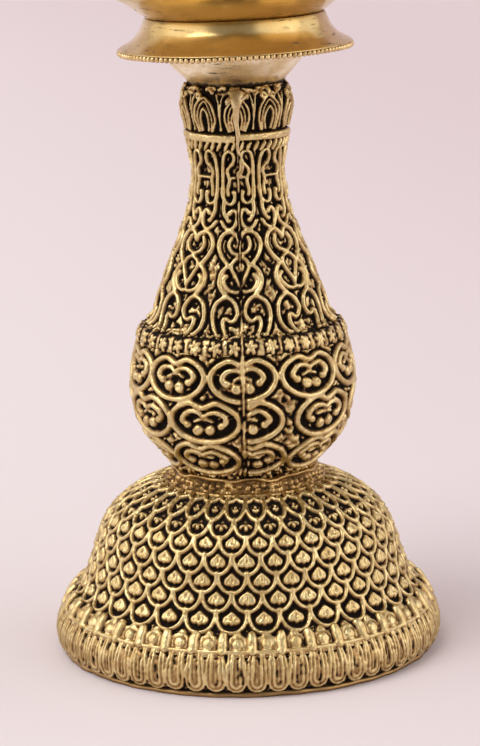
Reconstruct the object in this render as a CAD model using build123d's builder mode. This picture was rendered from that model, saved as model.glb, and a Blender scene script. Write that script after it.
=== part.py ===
"""A brass standing oil lamp (samai): bell foot, two-part stem casting and an oil head that screws apart.

Units are millimetres. +Z is up, the origin is the centre of the foot's resting face, and -Y is the front.
The stem is two half castings brazed along the YZ plane. The oil head screws into the top of the stem,
and the finial screws into the post in the middle of the oil dish. Threads are plain cylinders.
"""

import os

from build123d import *

os.makedirs("parts", exist_ok=True)

# ---------------------------------------------------------------- driving sizes
# Foot: a flat ring under a hollow bell.
FOOT_RADIUS = 64.0
FOOT_RING_WIDTH = 6.5
FOOT_RING_THICKNESS = 1.5
BELL_HEIGHT = 55.5
BELL_RADIUS = 65.2
BELL_WAIST_RADIUS = 60.2
BELL_PLATFORM_RADIUS = 27.0
BELL_PLATFORM_THICKNESS = 3.2
BELL_WALL = 2.6

# Collar: the shallow cup that the bulb stands in.
COLLAR_RADIUS = 25.6
COLLAR_HEIGHT = 4.6
COLLAR_FLOOR = 2.5
COLLAR_LIP = 2.4
COLLAR_TAPER = 0.8

# Stem: bulb, flower belt, vase, ring and capital, all one wall thick.
STEM_FOOT_RADIUS = 19.8
BULB_RADIUS = 37.7
BULB_HEIGHT = 45.1
SHOULDER_RADIUS = 34.8
BELT_PROUD = 1.2
BELT_HEIGHT = 5.0
BELT_TOP_RADIUS = 34.4
VASE_FOOT_RADIUS = 31.4
VASE_HEIGHT = 61.6
NECK_RADIUS = 15.5
NECK_TOP_RADIUS = 16.6
RING_PROUD = 0.9
RING_HEIGHT = 2.8
CAPITAL_RADIUS = 18.9
CAPITAL_BULGE_HEIGHT = 8.1
CAPITAL_TOP_RADIUS = 16.9
CAPITAL_HEIGHT = 14.7
STEM_WALL = 2.2

# Screwed joints. Radii are of the plain cylinders that stand for the threads.
STUD_RADIUS = 4.0
FINIAL_STUD_RADIUS = 3.0
RUNNING_CLEARANCE = 0.05
STUD_HOLE_CLEARANCE = 0.4
FOOT_PLUG_RADIUS = 17.0
FOOT_PLUG_HEIGHT = 5.0
HEAD_PLUG_RADIUS = 13.8
HEAD_PLUG_HEIGHT = 11.0
BRAZE_CLEARANCE = 0.05
HEAD_THREAD = 8.0
FINIAL_THREAD = 7.5
THREAD_END_GAP = 0.8
WASHER_RADIUS = 9.0
WASHER_THICKNESS = 1.5
NUT_ACROSS_FLATS = 13.0
NUT_HEIGHT = 6.5
STUD_TAIL = 2.5

# Oil head: cup, flared drip skirt with a beaded edge, and the dish with its wick spouts.
CUP_FOOT_RADIUS = 15.7
CUP_RADIUS = 26.0
CUP_HEIGHT = 22.2
CUP_FLARE_HEIGHT = 12.0
CUP_WALL = 2.0
CUP_FLOOR = 6.0
CUP_INNER_FOOT_RADIUS = 18.8
SKIRT_LAND = 3.5
SKIRT_FLARE = 8.7
SKIRT_TOP_RADIUS = CUP_RADIUS + SKIRT_LAND
SKIRT_RIM_RADIUS = SKIRT_TOP_RADIUS + SKIRT_FLARE
SKIRT_HEIGHT = 10.1
SKIRT_WALL = 1.6
BEAD_RADIUS = 0.95
DISH_LAND = 3.0
DISH_FLARE = 19.5
DISH_FOOT_RADIUS = CUP_RADIUS + DISH_LAND
DISH_RIM_RADIUS = DISH_FOOT_RADIUS + DISH_FLARE
DISH_HEIGHT = 21.0
DISH_WALL = 1.8
SPOUT_COUNT = 5
SPOUT_REACH = 8.0
SPOUT_ROOT_RADIUS = 11.0
SPOUT_TIP_RADIUS = 3.6
SPOUT_LENGTH = 24.0

# Post and finial in the middle of the dish.
POST_FLANGE_RADIUS = 9.5
POST_FLANGE_HEIGHT = 2.6
POST_WAIST_RADIUS = 5.4
POST_TOP_RADIUS = 7.6
POST_WAIST_HEIGHT = 10.4
POST_HEIGHT = 23.0
POST_SPIGOT_RADIUS = 4.9
POST_SPIGOT_LENGTH = 3.6
FINIAL_HEIGHT = 69.0
FINIAL_POT_RADIUS = 12.0
FINIAL_BORE_DEPTH = 9.0
FINIAL_BEAD_RADIUS = 1.0

# Small lead-in chamfers on the studs' lower ends.
STUD_CHAMFER = 0.6
FINIAL_STUD_CHAMFER = 0.5

# ---------------------------------------------------------------- heights that follow
BELL_FOOT_Z = FOOT_RING_THICKNESS
BELL_TOP_Z = BELL_FOOT_Z + BELL_HEIGHT
STEM_FOOT_Z = BELL_TOP_Z + COLLAR_FLOOR
BELT_Z = STEM_FOOT_Z + BULB_HEIGHT
VASE_Z = BELT_Z + BELT_HEIGHT
RING_Z = VASE_Z + VASE_HEIGHT
CAPITAL_Z = RING_Z + RING_HEIGHT
STEM_TOP_Z = CAPITAL_Z + CAPITAL_HEIGHT
DISH_FOOT_Z = STEM_TOP_Z + CUP_HEIGHT
SKIRT_RIM_Z = DISH_FOOT_Z - SKIRT_HEIGHT
DISH_RIM_Z = DISH_FOOT_Z + DISH_HEIGHT
DISH_FLOOR_Z = DISH_FOOT_Z + DISH_WALL
POST_TOP_Z = DISH_FLOOR_Z + POST_HEIGHT
FINIAL_TOP_Z = POST_TOP_Z + FINIAL_HEIGHT

# Normalised outlines, from the bottom up: (share of the way out, share of the way up).
BELL_SHAPE = [(0.0, 0.0), (0.55, 0.05), (1.0, 0.12), (0.62, 0.19), (0.0, 0.26)]
DOME_SHAPE = [(0.13, 0.385), (0.25, 0.54), (0.34, 0.70), (0.47, 0.82), (0.62, 0.91), (0.79, 0.96), (1.0, 1.0)]
BULB_SHAPE = [(0.0, 0.0), (0.42, 0.155), (0.71, 0.29), (0.905, 0.44), (1.0, 0.64), (0.955, 0.82)]
VASE_SHAPE = [(1.0, 0.0), (0.73, 0.17), (0.50, 0.34), (0.26, 0.50), (0.08, 0.67), (0.0, 0.82)]
CUP_FLARE_SHAPE = [(0.0, 0.0), (0.32, 0.30), (0.74, 0.66), (1.0, 1.0)]
SKIRT_SHAPE = [(0.0, 1.0), (0.20, 0.62), (0.50, 0.28), (1.0, 0.0)]
DISH_SHAPE = [(0.0, 0.0), (0.30, 0.18), (0.62, 0.42), (0.86, 0.70), (1.0, 1.0)]

# Finial outline: (share of the pot's radius, share of the finial's height).
FINIAL_FOOT = [(0.63, 0.0), (0.63, 0.03), (0.50, 0.07), (0.46, 0.12), (0.66, 0.17)]
FINIAL_POT = [(0.66, 0.17), (0.96, 0.25), (1.0, 0.32), (0.82, 0.40), (0.42, 0.465)]
FINIAL_LIP = [(0.42, 0.465), (0.42, 0.485), (0.62, 0.50), (0.62, 0.53), (0.36, 0.53)]
FINIAL_SPIRE = [(0.36, 0.53), (0.42, 0.61), (0.33, 0.72), (0.17, 0.85), (0.11, 0.93)]
FINIAL_TIP = [(0.11, 0.93), (0.17, 0.955), (0.10, 0.985)]


def between(low, high, share):
    """The value that lies a share of the way from low to high."""
    return low + (high - low) * share


def bell_points(inset):
    """Outline of the bell from its foot to its platform, moved inwards by inset."""
    foot = [
        (between(FOOT_RADIUS, BELL_RADIUS, out) - inset, BELL_FOOT_Z + up * BELL_HEIGHT)
        for out, up in BELL_SHAPE[:3]
    ]
    foot += [
        (between(BELL_WAIST_RADIUS, BELL_RADIUS, out) - inset, BELL_FOOT_Z + up * BELL_HEIGHT)
        for out, up in BELL_SHAPE[3:]
    ]
    dome = [
        (between(BELL_WAIST_RADIUS, BELL_PLATFORM_RADIUS, out) - inset, BELL_FOOT_Z + up * BELL_HEIGHT)
        for out, up in DOME_SHAPE
    ]
    return foot + dome


def bulb_points(inset):
    """Outline of the bulb from the stem's foot to the belt, moved inwards by inset."""
    points = [
        (between(STEM_FOOT_RADIUS, BULB_RADIUS, out) - inset, STEM_FOOT_Z + up * BULB_HEIGHT)
        for out, up in BULB_SHAPE
    ]
    return points + [(SHOULDER_RADIUS - inset, BELT_Z)]


def vase_points(inset):
    """Outline of the vase from the belt to the ring, moved inwards by inset."""
    points = [
        (between(NECK_RADIUS, VASE_FOOT_RADIUS, out) - inset, VASE_Z + up * VASE_HEIGHT)
        for out, up in VASE_SHAPE
    ]
    return points + [(NECK_TOP_RADIUS - inset, RING_Z)]


# ---------------------------------------------------------------- foot
with BuildPart() as foot_ring:
    Cylinder(FOOT_RADIUS, FOOT_RING_THICKNESS, align=(Align.CENTER, Align.CENTER, Align.MIN))
    Hole(FOOT_RADIUS - FOOT_RING_WIDTH)
foot_ring.part.label = "foot_ring"
export_step(foot_ring.part, "parts/foot_ring.step")

with BuildPart() as base_bell:
    with BuildSketch(Plane.XZ):
        with BuildLine():
            outer = Spline(bell_points(0.0))
            Polyline(outer @ 1, (0, BELL_TOP_Z), (0, BELL_FOOT_Z), outer @ 0)
        make_face()
    revolve(axis=Axis.Z)
    with BuildSketch(Plane.XZ):
        ceiling = BELL_TOP_Z - BELL_PLATFORM_THICKNESS
        with BuildLine():
            rising = [(r, z) for r, z in bell_points(BELL_WALL) if z < ceiling]
            inner = Spline(rising)
            shoulder = (BELL_PLATFORM_RADIUS - BELL_WALL, ceiling)
            Polyline(inner @ 1, shoulder, (0, ceiling), (0, BELL_FOOT_Z), inner @ 0)
        make_face()
    revolve(axis=Axis.Z, mode=Mode.SUBTRACT)
    with Locations((0, 0, BELL_TOP_Z)):
        Hole(STUD_RADIUS + STUD_HOLE_CLEARANCE)
base_bell.part.label = "base_bell"
export_step(base_bell.part, "parts/base_bell.step")

# ---------------------------------------------------------------- collar
with BuildPart() as collar_ring:
    with BuildSketch(Plane.XZ):
        top = BELL_TOP_Z + COLLAR_HEIGHT
        with BuildLine():
            Polyline(
                (STUD_RADIUS + STUD_HOLE_CLEARANCE, BELL_TOP_Z),
                (COLLAR_RADIUS, BELL_TOP_Z),
                (COLLAR_RADIUS - COLLAR_TAPER, top),
                (COLLAR_RADIUS - COLLAR_LIP, top),
                (COLLAR_RADIUS - COLLAR_LIP, STEM_FOOT_Z),
                (STUD_RADIUS + STUD_HOLE_CLEARANCE, STEM_FOOT_Z),
                close=True,
            )
        make_face()
    revolve(axis=Axis.Z)
collar_ring.part.label = "collar_ring"
export_step(collar_ring.part, "parts/collar_ring.step")

# ---------------------------------------------------------------- stem
plug_top_z = STEM_FOOT_Z + FOOT_PLUG_HEIGHT
head_seat_z = STEM_TOP_Z - HEAD_PLUG_HEIGHT
with BuildPart() as stem_shell:
    with BuildSketch(Plane.XZ):
        with BuildLine():
            bulb = Spline(bulb_points(0.0))
            Polyline(
                bulb @ 1,
                (SHOULDER_RADIUS + BELT_PROUD, BELT_Z),
                (BELT_TOP_RADIUS, VASE_Z),
                (VASE_FOOT_RADIUS, VASE_Z),
            )
            vase = Spline(vase_points(0.0))
            Polyline(
                vase @ 1,
                (NECK_TOP_RADIUS + RING_PROUD, RING_Z),
                (NECK_TOP_RADIUS + RING_PROUD, CAPITAL_Z),
            )
            ThreePointArc(
                (NECK_TOP_RADIUS + RING_PROUD, CAPITAL_Z),
                (CAPITAL_RADIUS, CAPITAL_Z + CAPITAL_BULGE_HEIGHT),
                (CAPITAL_TOP_RADIUS, STEM_TOP_Z),
            )
            Polyline((CAPITAL_TOP_RADIUS, STEM_TOP_Z), (0, STEM_TOP_Z), (0, STEM_FOOT_Z), bulb @ 0)
        make_face()
    revolve(axis=Axis.Z)
    # The hollow follows the bulb and the vase one wall inside them.
    with BuildSketch(Plane.XZ):
        with BuildLine():
            low = [(r, z) for r, z in bulb_points(STEM_WALL) if z > plug_top_z]
            hollow_foot = (FOOT_PLUG_RADIUS, plug_top_z)
            hollow_bulb = Spline([hollow_foot] + low)
            Line(hollow_bulb @ 1, (VASE_FOOT_RADIUS - STEM_WALL, VASE_Z))
            hollow_vase = Spline(vase_points(STEM_WALL)[:-1])
            Polyline(
                hollow_vase @ 1,
                (NECK_RADIUS - STEM_WALL, head_seat_z),
                (0, head_seat_z),
                (0, plug_top_z),
                hollow_foot,
            )
        make_face()
    revolve(axis=Axis.Z, mode=Mode.SUBTRACT)
    with Locations((0, 0, STEM_FOOT_Z)):
        Cylinder(
            FOOT_PLUG_RADIUS,
            FOOT_PLUG_HEIGHT,
            align=(Align.CENTER, Align.CENTER, Align.MIN),
            mode=Mode.SUBTRACT,
        )
    with Locations((0, 0, head_seat_z)):
        Cylinder(
            HEAD_PLUG_RADIUS,
            HEAD_PLUG_HEIGHT,
            align=(Align.CENTER, Align.CENTER, Align.MIN),
            mode=Mode.SUBTRACT,
        )

with BuildPart() as stem_shell_left:
    add(stem_shell.part)
    split(bisect_by=Plane.YZ, keep=Keep.BOTTOM)
stem_shell_left.part.label = "stem_shell_left"
export_step(stem_shell_left.part, "parts/stem_shell_left.step")

with BuildPart() as stem_shell_right:
    add(stem_shell.part)
    split(bisect_by=Plane.YZ, keep=Keep.TOP)
stem_shell_right.part.label = "stem_shell_right"
export_step(stem_shell_right.part, "parts/stem_shell_right.step")

with BuildPart() as stem_foot_plug:
    with BuildSketch(Plane.XY.offset(STEM_FOOT_Z)):
        Circle(FOOT_PLUG_RADIUS - BRAZE_CLEARANCE)
        Circle(STUD_RADIUS + BRAZE_CLEARANCE, mode=Mode.SUBTRACT)
    extrude(amount=FOOT_PLUG_HEIGHT)
stem_foot_plug.part.label = "stem_foot_plug"
export_step(stem_foot_plug.part, "parts/stem_foot_plug.step")

with BuildPart() as stem_head_plug:
    with BuildSketch(Plane.XY.offset(head_seat_z)):
        Circle(HEAD_PLUG_RADIUS - BRAZE_CLEARANCE)
        Circle(STUD_RADIUS, mode=Mode.SUBTRACT)
    extrude(amount=HEAD_PLUG_HEIGHT)
stem_head_plug.part.label = "stem_head_plug"
export_step(stem_head_plug.part, "parts/stem_head_plug.step")

# The stud that holds the stem down on the bell, with its washer and nut inside the bell.
washer_z = BELL_TOP_Z - BELL_PLATFORM_THICKNESS - WASHER_THICKNESS
nut_z = washer_z - NUT_HEIGHT
with BuildPart() as stem_stud:
    with BuildSketch(Plane.XY.offset(nut_z - STUD_TAIL)):
        Circle(STUD_RADIUS)
    extrude(amount=plug_top_z - nut_z + STUD_TAIL)
    chamfer(stem_stud.edges().group_by(Axis.Z)[0], STUD_CHAMFER)
stem_stud.part.label = "stem_stud"
export_step(stem_stud.part, "parts/stem_stud.step")

with BuildPart() as stud_washer:
    with BuildSketch(Plane.XY.offset(washer_z)):
        Circle(WASHER_RADIUS)
        Circle(STUD_RADIUS + STUD_HOLE_CLEARANCE, mode=Mode.SUBTRACT)
    extrude(amount=WASHER_THICKNESS)
stud_washer.part.label = "stud_washer"
export_step(stud_washer.part, "parts/stud_washer.step")

with BuildPart() as stud_nut:
    with BuildSketch(Plane.XY.offset(nut_z)):
        RegularPolygon(NUT_ACROSS_FLATS / 2, 6, major_radius=False)
        Circle(STUD_RADIUS + BRAZE_CLEARANCE, mode=Mode.SUBTRACT)
    extrude(amount=NUT_HEIGHT)
stud_nut.part.label = "stud_nut"
export_step(stud_nut.part, "parts/stud_nut.step")

# ---------------------------------------------------------------- oil head
with BuildPart() as head_stud:
    with BuildSketch(Plane.XY.offset(STEM_TOP_Z - HEAD_THREAD)):
        Circle(STUD_RADIUS - RUNNING_CLEARANCE)
    extrude(amount=HEAD_THREAD + CUP_FLOOR - THREAD_END_GAP)
    chamfer(head_stud.edges().group_by(Axis.Z)[0], STUD_CHAMFER)
head_stud.part.label = "head_stud"
export_step(head_stud.part, "parts/head_stud.step")

cup_flare_z = STEM_TOP_Z + CUP_FLARE_HEIGHT
with BuildPart() as bowl_cup:
    with BuildSketch(Plane.XZ):
        with BuildLine():
            flare = Spline(
                [
                    (between(CUP_FOOT_RADIUS, CUP_RADIUS, out), between(STEM_TOP_Z, cup_flare_z, up))
                    for out, up in CUP_FLARE_SHAPE
                ]
            )
            Polyline(flare @ 1, (CUP_RADIUS, DISH_FOOT_Z), (0, DISH_FOOT_Z), (0, STEM_TOP_Z), flare @ 0)
        make_face()
    revolve(axis=Axis.Z)
    with BuildSketch(Plane.XZ):
        floor_z = STEM_TOP_Z + CUP_FLOOR
        inner_radius = CUP_RADIUS - CUP_WALL
        with BuildLine():
            Polyline(
                (0, floor_z),
                (CUP_INNER_FOOT_RADIUS, floor_z),
                (inner_radius, cup_flare_z),
                (inner_radius, DISH_FOOT_Z),
                (0, DISH_FOOT_Z),
                close=True,
            )
        make_face()
    revolve(axis=Axis.Z, mode=Mode.SUBTRACT)
    with Locations((0, 0, DISH_FOOT_Z)):
        Hole(STUD_RADIUS)
bowl_cup.part.label = "bowl_cup"
export_step(bowl_cup.part, "parts/bowl_cup.step")


def skirt_points(inset):
    """Outline of the skirt from its top edge to its rim, moved inwards by inset."""
    points = [
        (between(SKIRT_TOP_RADIUS, SKIRT_RIM_RADIUS, out) - inset, between(SKIRT_RIM_Z, DISH_FOOT_Z, up))
        for out, up in SKIRT_SHAPE[1:]
    ]
    return [(SKIRT_TOP_RADIUS - inset, DISH_FOOT_Z - inset)] + points


with BuildPart() as drip_skirt:
    with BuildSketch(Plane.XZ):
        with BuildLine():
            outside = Spline(skirt_points(0.0))
            inside = Spline(skirt_points(SKIRT_WALL)[::-1])
            Line(outside @ 1, inside @ 0)
            Polyline(
                inside @ 1,
                (CUP_RADIUS + BRAZE_CLEARANCE, DISH_FOOT_Z - SKIRT_WALL),
                (CUP_RADIUS + BRAZE_CLEARANCE, DISH_FOOT_Z),
                outside @ 0,
            )
        make_face()
    revolve(axis=Axis.Z)
drip_skirt.part.label = "drip_skirt"
export_step(drip_skirt.part, "parts/drip_skirt.step")

with BuildPart() as skirt_bead_wire:
    with Locations((0, 0, SKIRT_RIM_Z - BEAD_RADIUS)):
        Torus(SKIRT_RIM_RADIUS - SKIRT_WALL / 2, BEAD_RADIUS)
skirt_bead_wire.part.label = "skirt_bead_wire"
export_step(skirt_bead_wire.part, "parts/skirt_bead_wire.step")


def dish_outline(inset):
    """Points of the dish's wall from floor to rim, moved inwards and up by inset."""
    return [
        (
            between(DISH_FOOT_RADIUS, DISH_RIM_RADIUS, out) - inset,
            between(DISH_FOOT_Z + inset, DISH_RIM_Z, up),
        )
        for out, up in DISH_SHAPE
    ]


# A spout's trough is half a cone that lies along the rim plane, its small end outwards.
spout_middle = DISH_RIM_RADIUS + SPOUT_REACH - SPOUT_LENGTH / 2
with BuildPart() as oil_dish:
    for inset, mode in ((0.0, Mode.ADD), (DISH_WALL, Mode.SUBTRACT)):
        with BuildSketch(Plane.XZ):
            with BuildLine():
                wall = Spline(dish_outline(inset))
                Polyline(wall @ 1, (0, DISH_RIM_Z), (0, DISH_FOOT_Z + inset), wall @ 0)
            make_face()
        revolve(axis=Axis.Z, mode=mode)
        with Locations((0, 0, DISH_RIM_Z)):
            with PolarLocations(spout_middle, SPOUT_COUNT, start_angle=-90):
                Cone(
                    SPOUT_ROOT_RADIUS - inset,
                    SPOUT_TIP_RADIUS - inset,
                    SPOUT_LENGTH,
                    rotation=(0, 90, 0),
                    mode=mode,
                )
        if mode == Mode.ADD:
            split(bisect_by=Plane.XY.offset(DISH_RIM_Z), keep=Keep.BOTTOM)
    with Locations((0, 0, DISH_FLOOR_Z)):
        Hole(POST_SPIGOT_RADIUS + BRAZE_CLEARANCE)
oil_dish.part.label = "oil_dish"
export_step(oil_dish.part, "parts/oil_dish.step")

with BuildPart() as dish_post:
    with BuildSketch(Plane.XZ):
        waist_z = DISH_FLOOR_Z + POST_WAIST_HEIGHT
        with BuildLine():
            Polyline(
                (0, DISH_FLOOR_Z - POST_SPIGOT_LENGTH),
                (POST_SPIGOT_RADIUS, DISH_FLOOR_Z - POST_SPIGOT_LENGTH),
                (POST_SPIGOT_RADIUS, DISH_FLOOR_Z),
                (POST_FLANGE_RADIUS, DISH_FLOOR_Z),
                (POST_FLANGE_RADIUS, DISH_FLOOR_Z + POST_FLANGE_HEIGHT),
            )
            Spline(
                (POST_FLANGE_RADIUS, DISH_FLOOR_Z + POST_FLANGE_HEIGHT),
                (POST_WAIST_RADIUS, waist_z),
                (POST_TOP_RADIUS, POST_TOP_Z),
            )
            Polyline(
                (POST_TOP_RADIUS, POST_TOP_Z),
                (0, POST_TOP_Z),
                (0, DISH_FLOOR_Z - POST_SPIGOT_LENGTH),
            )
        make_face()
    revolve(axis=Axis.Z)
    with Locations((0, 0, POST_TOP_Z)):
        Hole(FINIAL_STUD_RADIUS, FINIAL_THREAD + THREAD_END_GAP)
dish_post.part.label = "dish_post"
export_step(dish_post.part, "parts/dish_post.step")

# ---------------------------------------------------------------- finial
with BuildPart() as finial_stud:
    with BuildSketch(Plane.XY.offset(POST_TOP_Z - FINIAL_THREAD)):
        Circle(FINIAL_STUD_RADIUS - RUNNING_CLEARANCE)
    extrude(amount=FINIAL_THREAD + FINIAL_BORE_DEPTH - THREAD_END_GAP)
    chamfer(finial_stud.edges().group_by(Axis.Z)[0], FINIAL_STUD_CHAMFER)
finial_stud.part.label = "finial_stud"
export_step(finial_stud.part, "parts/finial_stud.step")


def finial_points(shape):
    """A stretch of the finial's outline as radius and height."""
    return [(out * FINIAL_POT_RADIUS, POST_TOP_Z + up * FINIAL_HEIGHT) for out, up in shape]


with BuildPart() as finial_body:
    with BuildSketch(Plane.XZ):
        with BuildLine():
            Polyline(finial_points(FINIAL_FOOT[:2]))
            Spline(finial_points(FINIAL_FOOT[1:]))
            Spline(finial_points(FINIAL_POT))
            Polyline(finial_points(FINIAL_LIP))
            Spline(finial_points(FINIAL_SPIRE))
            tip = Spline(finial_points(FINIAL_TIP))
            Polyline(tip @ 1, (0, FINIAL_TOP_Z), (0, POST_TOP_Z), finial_points(FINIAL_FOOT)[0])
        make_face()
    revolve(axis=Axis.Z)
    with BuildSketch(Plane.XY.offset(POST_TOP_Z)):
        Circle(FINIAL_STUD_RADIUS)
    extrude(amount=FINIAL_BORE_DEPTH, mode=Mode.SUBTRACT)
finial_body.part.label = "finial_body"
export_step(finial_body.part, "parts/finial_body.step")

lip_radius, lip_z = finial_points(FINIAL_LIP)[3]
with BuildPart() as finial_bead_wire:
    with Locations((0, 0, lip_z + FINIAL_BEAD_RADIUS)):
        Torus(lip_radius - FINIAL_BEAD_RADIUS, FINIAL_BEAD_RADIUS)
finial_bead_wire.part.label = "finial_bead_wire"
export_step(finial_bead_wire.part, "parts/finial_bead_wire.step")
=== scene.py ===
"""Looks of a brass standing oil lamp: patterned bell foot, scrollwork stem, beaded drip skirt, wick dish and
spire.

Sizes are in millimetres until a mesh is made, then in metres. Angles turn from the front (-Y) towards the
right (+X).
"""

import logging
import math
from dataclasses import dataclass, field
from enum import Enum
from typing import Sequence

import bpy
import numpy as np
from mathutils import Matrix, Vector


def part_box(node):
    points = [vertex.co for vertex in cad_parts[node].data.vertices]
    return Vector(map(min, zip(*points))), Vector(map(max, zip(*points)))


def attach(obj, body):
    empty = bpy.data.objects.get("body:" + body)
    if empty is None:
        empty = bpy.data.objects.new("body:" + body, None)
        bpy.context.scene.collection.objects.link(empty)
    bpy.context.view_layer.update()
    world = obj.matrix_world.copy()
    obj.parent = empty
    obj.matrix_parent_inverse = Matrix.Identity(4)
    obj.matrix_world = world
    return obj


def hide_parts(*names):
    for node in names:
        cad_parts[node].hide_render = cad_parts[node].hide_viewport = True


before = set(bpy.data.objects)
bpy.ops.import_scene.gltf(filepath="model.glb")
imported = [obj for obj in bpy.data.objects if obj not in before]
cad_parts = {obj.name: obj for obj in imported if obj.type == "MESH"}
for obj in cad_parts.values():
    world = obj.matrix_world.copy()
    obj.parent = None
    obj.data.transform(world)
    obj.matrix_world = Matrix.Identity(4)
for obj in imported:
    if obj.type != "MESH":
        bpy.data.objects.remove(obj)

MM = 0.001
TURN = 2.0 * math.pi
PLAIN_AGE = 0.3  # patina of a piece that says none
BEAD_AGE = 0.1
BEAD_SIDES, BEAD_RINGS = 10, 5
OUTLINE_STEP = 0.1  # spacing of the points that an outline is kept as
BACK_ROWS = 6  # rows of the plain back of a relief
CAST_GRIT = 0.09  # unevenness that sand casting leaves
CLOTH_REACH = 0.9  # how far round a point high work holds the polishing cloth off
CROWN_SHARE = 0.97  # share of a relief that lies below its crowns
HOLLOW_PATINA, LOW_PATINA, POLISH = 0.85, 0.42, 0.08
ROD_SIDES, ROD_STEP = 40, 0.22
SHEEN = 0.12  # shine of the dark patina
GRAIN_HEIGHT = 0.0003  # depth of a surface's grain, in metres
log = logging.getLogger("oil_lamp")

Points = Sequence[tuple[float, float]]
Colour = tuple[float, float, float]
Widths = float | Sequence[float]
Piece = bpy.types.Object
Tree = bpy.types.NodeTree
Node = bpy.types.Node
Socket = bpy.types.NodeSocket


# ---------------------------------------------------------------- curves and outlines
def smooth(points: Points, step: float = 0.5, closed: bool = False) -> np.ndarray:
    """A Catmull-Rom curve through the points: each span is the cubic that leaves and meets its ends along
    their neighbours' chord.

    Args:
        points: The points that the curve goes through.
        step: Rough distance between the points that come back.
        closed: True if the last point joins the first.

    Returns:
        An (n, 2) array of points along the curve.
    """
    knots = np.asarray(points, float)
    if closed:
        knots = np.vstack([knots[-1], knots, knots[:2]])
    else:
        knots = np.vstack([2 * knots[0] - knots[1], knots, 2 * knots[-1] - knots[-2]])
    spans = []
    for before, start, end, after in zip(knots[:-3], knots[1:-2], knots[2:-1], knots[3:]):
        count = max(2, int(np.hypot(*(end - start)) / step))
        t = np.linspace(0.0, 1.0, count, endpoint=False)[:, None]
        leave, meet = (end - before) / 2, (after - start) / 2
        spans.append(
            (2 * t**3 - 3 * t**2 + 1) * start
            + (t**3 - 2 * t**2 + t) * leave
            + (3 * t**2 - 2 * t**3) * end
            + (t**3 - t**2) * meet
        )
    return np.vstack(spans + [knots[-2][None]])


class Outline:
    """A turned outline: radius and height against the distance along it, with the direction that points out
    of the metal."""

    def __init__(self, knots: Points) -> None:
        """Follows the knots, given as (radius, height) from the bottom up.

        Args:
            knots: The points of the outline.
        """
        fine = smooth(knots, OUTLINE_STEP)
        self.along = np.concatenate([[0.0], np.cumsum(np.hypot(*np.diff(fine, axis=0).T))])
        self.radius, self.height = fine.T
        slope = np.gradient(fine, self.along, axis=0)
        slope /= np.hypot(*slope.T)[:, None]
        self.out_radius, self.out_height = slope[:, 1], -slope[:, 0]

    def at(self, along: np.ndarray) -> tuple[np.ndarray, np.ndarray, np.ndarray, np.ndarray]:
        """Radius, height and the two parts of the outward direction at a distance along the outline."""
        rows = (self.radius, self.height, self.out_radius, self.out_height)
        return tuple(np.interp(along, self.along, row) for row in rows)

    def reach(self, height: float | np.ndarray, crown: float = 0.0) -> float | np.ndarray:
        """Distance along the outline where work of the given lift has its crown at a height."""
        return np.interp(height, self.height + crown * self.out_height, self.along)

    @property
    def length(self) -> float:
        """Whole length of the outline."""
        return float(self.along[-1])


# ---------------------------------------------------------------- meshes
def solid(
    name: str, points: np.ndarray, faces: Sequence[np.ndarray], age: np.ndarray | None = None
) -> Piece:
    """Puts points and faces into a mesh object at the origin.

    Args:
        name: Name of the piece.
        points: (n, 3) array in millimetres.
        faces: Arrays of vertex numbers, one row a face; each array has faces of one size.
        age: How dark each point's patina is, from 0 to 1.

    Returns:
        The new object, smooth shaded apart from faces of more than four corners.
    """
    mesh = bpy.data.meshes.new(name)
    mesh.vertices.add(len(points))
    mesh.vertices.foreach_set("co", (np.asarray(points, float) * MM).ravel())
    corners = np.concatenate([f.ravel() for f in faces])
    sizes = np.concatenate([np.full(len(f), f.shape[1]) for f in faces])
    mesh.loops.add(len(corners))
    mesh.loops.foreach_set("vertex_index", corners.astype(np.int32))
    mesh.polygons.add(len(sizes))
    mesh.polygons.foreach_set("loop_start", np.concatenate([[0], np.cumsum(sizes)[:-1]]).astype(np.int32))
    mesh.polygons.foreach_set("use_smooth", sizes <= 4)
    mesh.update(calc_edges=True)
    mesh.validate()
    layer = mesh.attributes.new("age", "FLOAT", "POINT")
    layer.data.foreach_set(
        "value", np.full(len(points), PLAIN_AGE) if age is None else np.asarray(age, float).ravel()
    )
    piece = bpy.data.objects.new(name, mesh)
    bpy.context.scene.collection.objects.link(piece)
    return piece


def sheet_faces(rows: int, columns: int, wrap_rows: bool, wrap_columns: bool) -> np.ndarray:
    """Four-cornered faces of a grid numbered row by row, joined end to end where asked.

    Args:
        rows: Number of rows.
        columns: Number of points in a row.
        wrap_rows: True if the last row joins the first.
        wrap_columns: True if a row's last point joins its first.

    Returns:
        An (n, 4) array of vertex numbers.
    """
    i = np.arange(rows if wrap_rows else rows - 1)[:, None]
    j = np.arange(columns if wrap_columns else columns - 1)[None, :]
    up, side = (i + 1) % rows, (j + 1) % columns
    quads = np.stack([i * columns + j, i * columns + side, up * columns + side, up * columns + j], axis=-1)
    return quads.reshape(-1, 4)


def fan(pole: int, start: int, count: int, up: bool) -> np.ndarray:
    """Triangles from a pole vertex to a ring of vertices.

    Args:
        pole: Number of the pole vertex.
        start: Number of the ring's first vertex.
        count: Number of vertices in the ring.
        up: True if the ring goes anticlockwise, seen from outside.

    Returns:
        A (count, 3) array of vertex numbers.
    """
    here, ahead = start + np.arange(count), start + (np.arange(count) + 1) % count
    return np.stack([np.full(count, pole), here if up else ahead, ahead if up else here], axis=-1)


def turns(count: int, start: float = 0.0) -> np.ndarray:
    """A number of evenly spaced angles all the way round, the first a share of a step on."""
    return (np.arange(count) + start) * TURN / count


def hoop(along: float | np.ndarray, count: int = 241) -> np.ndarray:
    """A path all the way round, at a distance along the outline."""
    return np.column_stack([np.linspace(0, TURN, count), np.broadcast_to(along, count)])


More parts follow.
